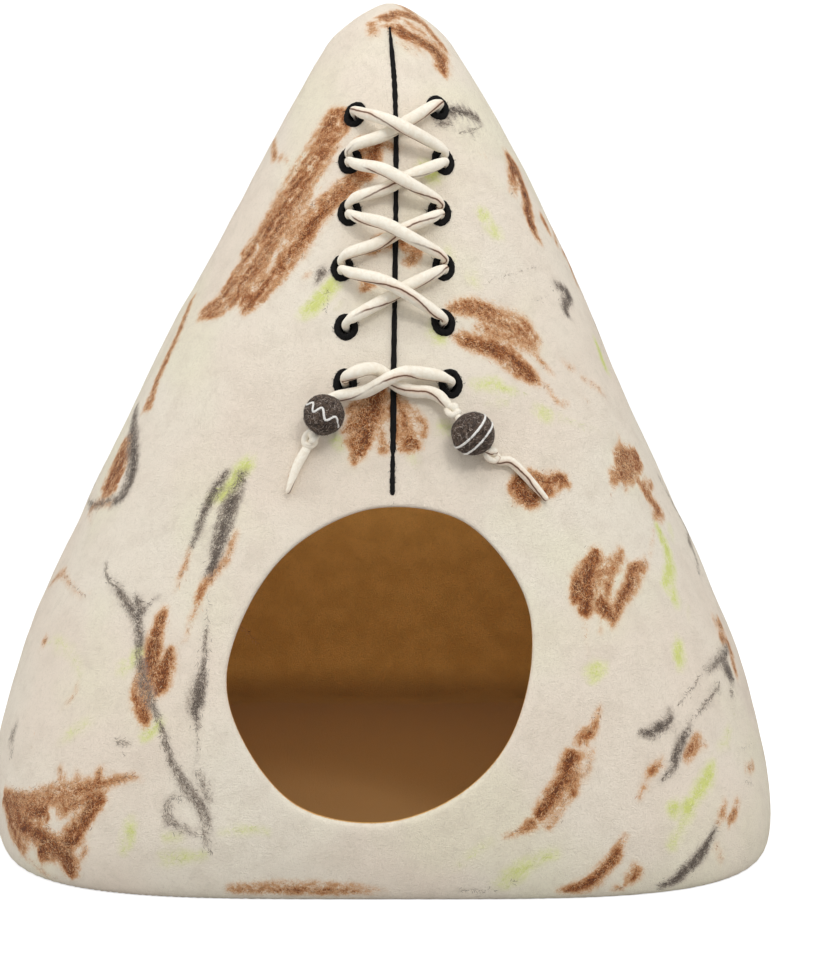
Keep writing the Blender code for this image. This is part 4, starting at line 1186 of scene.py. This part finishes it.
def lace_rows(crossings, last, tie, bar_bend, bar_depth, crossing_lift):
    """Rows of one half of the lace, from the middle of the top bar to the end of its tail."""
    first = np.array(EYELETS[crossings[0][0]])
    middle = (np.array(EYELETS["l1"]) + EYELETS["r1"]) / 2
    heading = unit(first - middle)
    rows = [
        (*(middle + heading * TOP_BAR_GAP / 2), -TOP_BAR_MIDDLE_DEPTH, BAR_GIRTH),
        (*(first - heading * TOP_BAR_BEND), -TOP_BAR_DEPTH, BAR_GIRTH),
    ]
    leaving_names = [pair[0] for pair in crossings[1:]] + [last]
    for (leaving, entering), following in zip(crossings, leaving_names):
        start, end = np.array(EYELETS[leaving]), np.array(EYELETS[entering])
        half_step = unit(end - start) * CROSSING_LENGTH / 2
        rows += eyelet_pass(leaving, end, "out")
        rows += [(*((start + end) / 2 + step), crossing_lift, 1.0) for step in (-half_step, half_step)]
        rows += eyelet_pass(entering, start, "in")[::-1]
        under = np.array(EYELETS[following]) + (0.0, hole_level(following, "out"))
        rows += hidden_bar(np.array(rows[-1][:2]), under, bar_bend, bar_depth)
    rows += eyelet_pass(last, np.array(tie[0][:2]), "out")[:len(EYELET_PASS_STRAIGHT)]
    return np.array(rows + list(tie))


def tie_knots(rows, radius):
    """Points and girths of half the lace, with an overhand knot for each lump, to a tenth of a millimetre."""
    places = front_point(rows[:, 0], rows[:, 1])
    outs = form_normals(places)
    line = np.column_stack([places + outs * rows[:, 2:3], rows[:, 3]])
    pieces, first = [], 0
    for lump in np.flatnonzero(rows[:, 3] > KNOT_LUMP_GIRTH):
        centre = line[lump, :3]
        along = unit(line[lump + 1, :3] - line[lump - 1, :3])
        side = unit(np.cross(along, outs[lump]))
        path = centre + radius * OVERHAND_KNOT @ (along, side, np.cross(side, along))
        distance = np.linalg.norm(line[lump - 3:lump + 4, :3] - centre, axis=1)
        tied = lump - 3 + np.flatnonzero(distance <= KNOT_REACH * radius)
        girths = np.full(len(path), KNOT_STRAND_GIRTH * radius / (LACE_THICKNESS / 2))
        pieces += [line[first:tied[0]], np.column_stack([path, girths])]
        first = tied[-1] + 1
    line = np.concatenate(pieces + [line[first:]])
    return np.column_stack([np.round(line[:, :3], 4), np.round(line[:, 3], 2)])


def fading(tree, value, low, high, most):
    """The socket of a value that falls evenly from a most to zero between two limits."""
    return add_node(tree, "MapRange", {
        "Value": value, "From Min": low, "From Max": high, "To Min": most, "To Max": 0.0}).outputs["Result"]


def lace_material():
    """Cream felt with a thin brown seam, read from the cord's seam map."""
    material = wool_material("lace_felt", (0.82, 0.745, 0.62), (0.88, 0.83, 0.72), 240, 0.3)
    tree = material.node_tree
    place = add_node(tree, "TexCoord").outputs["Object"]
    seam = add_node(tree, "SeparateXYZ", {0: add_node(tree, "UVMap", uv_map="seam_map").outputs["UV"]})
    waver = add_node(tree, "TexNoise", {"Vector": place, "Scale": 160.0, "Detail": 3.0}).outputs["Fac"]
    faint = add_node(tree, "TexNoise", {"Vector": place, "Scale": 28.0, "Detail": 2.0}).outputs["Fac"]
    shifted = calc(tree, "MULTIPLY_ADD", waver, 0.0016, -0.0008)
    apart = calc(tree, "ABSOLUTE", calc(tree, "ADD", seam.outputs["X"], shifted))
    line = fading(tree, apart, 0.00025, 0.00090, 0.95)
    line = calc(tree, "MULTIPLY", line, between(tree, faint, 0.36, 0.52))
    line = calc(tree, "MULTIPLY", line, between(tree, seam.outputs["Y"], 0.0, 0.4))
    blush = fading(tree, apart, 0.0003, 0.0030, 0.55)
    blush = calc(tree, "MULTIPLY", blush, between(tree, faint, 0.40, 0.60))
    surface = tree.nodes["Principled BSDF"]
    felt = mix(tree, blush, surface.inputs["Base Color"].links[0].from_socket, (0.60, 0.36, 0.23))
    tree.links.new(mix(tree, line, felt, (0.10, 0.034, 0.014)), surface.inputs["Base Color"])
    return material


def carried_outs(points, start):
    """Outward directions carried along a line without twist."""
    run = np.gradient(points, axis=0)
    run /= np.linalg.norm(run, axis=1, keepdims=True)
    outs = [np.array(start, float)]
    for here in run:
        out = outs[-1] - here * (outs[-1] @ here)
        outs.append(out / np.linalg.norm(out))
    return np.array(outs[1:])


# The bars of the left half lie nearer to the wall, and its crossings over those of the right half.
lace_lines = {
    "left": tie_knots(lace_rows(
        (("l1", "r2"), ("l2", "r3"), ("l3", "r4"), ("l4", "r5")), "r6", LEFT_TIE,
        bar_bend=0.006, bar_depth=0.0135, crossing_lift=0.0170), radius=0.0021),
    "right": tie_knots(lace_rows(
        (("r1", "l2"), ("r2", "l3"), ("r3", "l4"), ("r4", "l5")), "l6", RIGHT_TIE,
        bar_bend=0.002, bar_depth=0.0215, crossing_lift=0.0072), radius=0.0019),
}
SEAM_STARTS = {"left": 0.4, "right": 2.2}
SEAM_PITCH = 0.083  # the cord's length for one sway of the seam
lace_felt = lace_material()
laces = {}
for side, line in lace_lines.items():
    rows = spline(line, 6)
    points, girths = rows[:, :3], rows[:, 3]
    lace_bm = bmesh.new()
    half = LACE_THICKNESS / 2 * girths
    along = np.concatenate([[0], np.cumsum(np.linalg.norm(np.diff(points, axis=0), axis=1))])
    run = np.gradient(points, axis=0)
    run /= np.linalg.norm(run, axis=1, keepdims=True)
    facing = np.array((0.0, -0.91, 0.42))
    facing = facing - run * (run @ facing)[:, None]
    facing /= np.maximum(np.linalg.norm(facing, axis=1, keepdims=True), 0.2)
    sway = 1.0 + 0.75 * np.sin(along / SEAM_PITCH * 2 * math.pi + SEAM_STARTS[side])
    turn = np.sign(run[:, :1] + 1e-6) * sway[:, None]
    seam = facing * np.cos(turn) + np.cross(run, facing) * np.sin(turn)
    lay_tube(lace_bm, points, carried_outs(points, (0, 0.2, 1)), half, half, 18, seam=seam)
    lace = finish_piece(lace_bm, "lace_" + side, lace_felt)
    length = float(np.linalg.norm(np.diff(points, axis=0), axis=1).sum())
    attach(lace, "root")
    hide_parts("lace_" + side)
    laces[side] = (lace, points, length)


# ---- Felt beads ----
# Two balls of grey-brown wool rolled round and pierced, threaded on the tails between the knots.
# Fine white yarn is needled on them: a zigzag on the left one, two parallel rings on the right one.

BEADS = {"left": ((-0.0389, -0.1816, 0.3140), 0.0137), "right": ((0.0608, -0.1845, 0.3014), 0.0145)}
ZIGZAG = ((-11.1, 6.5), (-7.0, 7.9), (-7.0, 1.8), (-1.0, 4.5), (1.0, -3.6), (7.7, -1.5), (9.7, -8.3))
YARN_RING_OFFSETS = (-0.0026, 0.0045)
YARN_RING_AXIS, YARN_RING_START = np.array((0.72, -0.65, -0.24)), np.array((0.67, 0.742, 0.0))
YARN_HALF_WIDTH, YARN_HALF_DEPTH = 0.00082, 0.0006
BEAD_FIBRES = 1500

bead_felt = wool_material("bead_felt", (0.020, 0.014, 0.011), (0.165, 0.116, 0.088), 620, 1.0)
white_yarn = wool_material("white_yarn", (0.70, 0.68, 0.64), (0.90, 0.88, 0.85), 1200, 0.6)
for side, (middle, radius) in BEADS.items():
    middle = np.array(middle)
    bead_bm = bmesh.new()
    bmesh.ops.create_uvsphere(bead_bm, u_segments=56, v_segments=36, radius=radius)
    for vert in bead_bm.verts:
        swell = 0.0005 * noise.noise(vert.co * 130 + Vector(middle) * 50)
        swell += 0.00022 * noise.noise(vert.co * 420)
        vert.co *= 1 + swell / radius
        vert.co += Vector(middle)
    for face in bead_bm.faces:
        face.smooth = True
    bead = finish_piece(bead_bm, "bead_" + side, bead_felt)
    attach(bead, "root")
    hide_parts("bead_" + side)

    toward = EYE - middle
    toward /= np.linalg.norm(toward)
    right = np.cross(toward, (0, 0, 1))
    right /= -np.linalg.norm(right)
    up = np.cross(toward, right)
    up *= np.sign(up[2])
    yarn_bm = bmesh.new()
    if side == "left":
        front = spline(np.array(ZIGZAG) / 1000, 5)
        depth = np.sqrt(np.maximum(radius ** 2 - np.sum(front ** 2, axis=1), 0))
        lines = [np.concatenate([np.column_stack([front, depth]), np.column_stack([front, -depth])[::-1]])]
    else:
        angle = np.linspace(0, 2 * math.pi, 61)[:-1]
        circle = np.outer(np.cos(angle), YARN_RING_START)
        circle += np.outer(np.sin(angle), np.cross(YARN_RING_AXIS, YARN_RING_START))
        lines = [
            YARN_RING_AXIS * offset + math.sqrt(radius ** 2 - offset ** 2) * circle
            for offset in YARN_RING_OFFSETS
        ]
    for local in lines:
        wander = stitching.normal(0, 0.00016, len(local))
        path = local[:, :1] * right + local[:, 1:2] * up + local[:, 2:] * toward
        outs = path / np.linalg.norm(path, axis=1, keepdims=True)
        path = middle + path + outs * (0.0001 + wander[:, None])
        lay_tube(yarn_bm, path, outs, YARN_HALF_WIDTH, YARN_HALF_DEPTH, 8, closed=True)
    yarn = finish_piece(yarn_bm, "bead_yarn_" + side, white_yarn)
    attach(yarn, "root")

    bead_tree = BVHTree.FromPolygons(
        [v.co for v in bead.data.vertices], [p.vertices[:] for p in bead.data.polygons])
    starts = middle + stitching.normal(0, 1, (BEAD_FIBRES, 3)) * radius
    pale = stitching.random((BEAD_FIBRES, 1)) < 0.28
    shades = np.where(pale, (0.36, 0.295, 0.25), (0.045, 0.032, 0.026))
    shades *= stitching.uniform(0.5, 1.4, (BEAD_FIBRES, 1))
    headings = stitching.normal(0, 1, (BEAD_FIBRES, 3))
    lengths = stitching.uniform(0.0015, 0.0050, BEAD_FIBRES)
    fuzz = fibre_piece(
        "bead_fibres_" + side, starts, headings, lengths, 0.00025, 0.6, (0.0001, 0.0006), shades,
        bead_tree, 30, steps=3)
    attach(fuzz, "root")
    lace, points, length = laces[side]


# ---- Floor, light and camera ----
# A plain white sweep under a large soft box, one soft light above on the right, one to each side, a
# weak one in the hollow, and the camera a little above the cave's middle height.

sweep_bm = bmesh.new()
bmesh.ops.create_grid(sweep_bm, x_segments=1, y_segments=1, size=3.0)
back_edge = [e for e in sweep_bm.edges if all(v.co.y > 2.9 for v in e.verts)]
raised = bmesh.ops.extrude_edge_only(sweep_bm, edges=back_edge)["geom"]
bmesh.ops.translate(
    sweep_bm, verts=[g for g in raised if isinstance(g, bmesh.types.BMVert)], vec=(0, 0, 3.0))
bmesh.ops.bevel(
    sweep_bm, geom=back_edge, offset=1.2, offset_type="OFFSET", segments=24, profile=0.5,
    affect="EDGES", material=-1)
for face in sweep_bm.faces:
    face.smooth = True
white = bpy.data.materials.new("white_sweep")
white.use_nodes = True
tree = white.node_tree
surface = tree.nodes["Principled BSDF"]
surface.inputs["Base Color"].default_value = (0.55, 0.55, 0.55, 1)
surface.inputs["Roughness"].default_value = 0.9
surface.inputs["Emission Color"].default_value = (1.0, 1.0, 1.0, 1)
glow = calc(tree, "MULTIPLY", add_node(tree, "LightPath").outputs["Is Camera Ray"], 0.74)
tree.links.new(glow, surface.inputs["Emission Strength"])
finish_piece(sweep_bm, "sweep", white)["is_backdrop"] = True


def add_light(name, place, target, width, power):
    """A square soft light that faces a point."""
    light = bpy.data.lights.new(name, "AREA")
    light.size = width
    light.energy = power
    lamp = bpy.data.objects.new(name, light)
    lamp.location = place
    lamp.rotation_euler = (Vector(target) - Vector(place)).to_track_quat("-Z", "Y").to_euler()
    bpy.context.scene.collection.objects.link(lamp)
    lamp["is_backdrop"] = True


add_light("key", (0.85, -2.05, 2.35), (0.0, 0.0, 0.28), 0.6, 20)
add_light("soft_box", (0.0, -0.75, 1.75), (0.0, 0.0, 0.3), 1.2, 8)
add_light("left_fill", (-2.3, -0.5, 1.1), (0.0, 0.0, 0.25), 1.4, 16)
add_light("right_fill", (2.3, -0.9, 1.2), (0.0, 0.0, 0.3), 1.2, 8)
add_light("hollow_fill", (0.0, -0.06, 0.37), (0.0, 0.20, 0.03), 0.08, 0.46)
world = bpy.data.worlds.new("room")
world.use_nodes = True
world.node_tree.nodes["Background"].inputs["Color"].default_value = (1.0, 1.0, 1.0, 1)
world.node_tree.nodes["Background"].inputs["Strength"].default_value = 0.58
bpy.context.scene.world = world
bpy.context.scene.view_settings.view_transform = "Standard"

SENSOR_WIDTH = 36.0
camera_data = bpy.data.cameras.new("camera")
camera_data.sensor_width = SENSOR_WIDTH
camera_data.lens = FOCAL_LENGTH / PICTURE_HEIGHT * SENSOR_WIDTH
camera_data.shift_x = (PICTURE_WIDTH / 2 - VIEW_MIDDLE[0]) / PICTURE_HEIGHT
camera = bpy.data.objects.new("camera", camera_data)
camera.location = EYE
camera.rotation_euler = (math.pi / 2 - LOOKING_DOWN, 0.0, 0.0)
bpy.context.scene.collection.objects.link(camera)
bpy.context.scene.camera = camera

low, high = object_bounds()
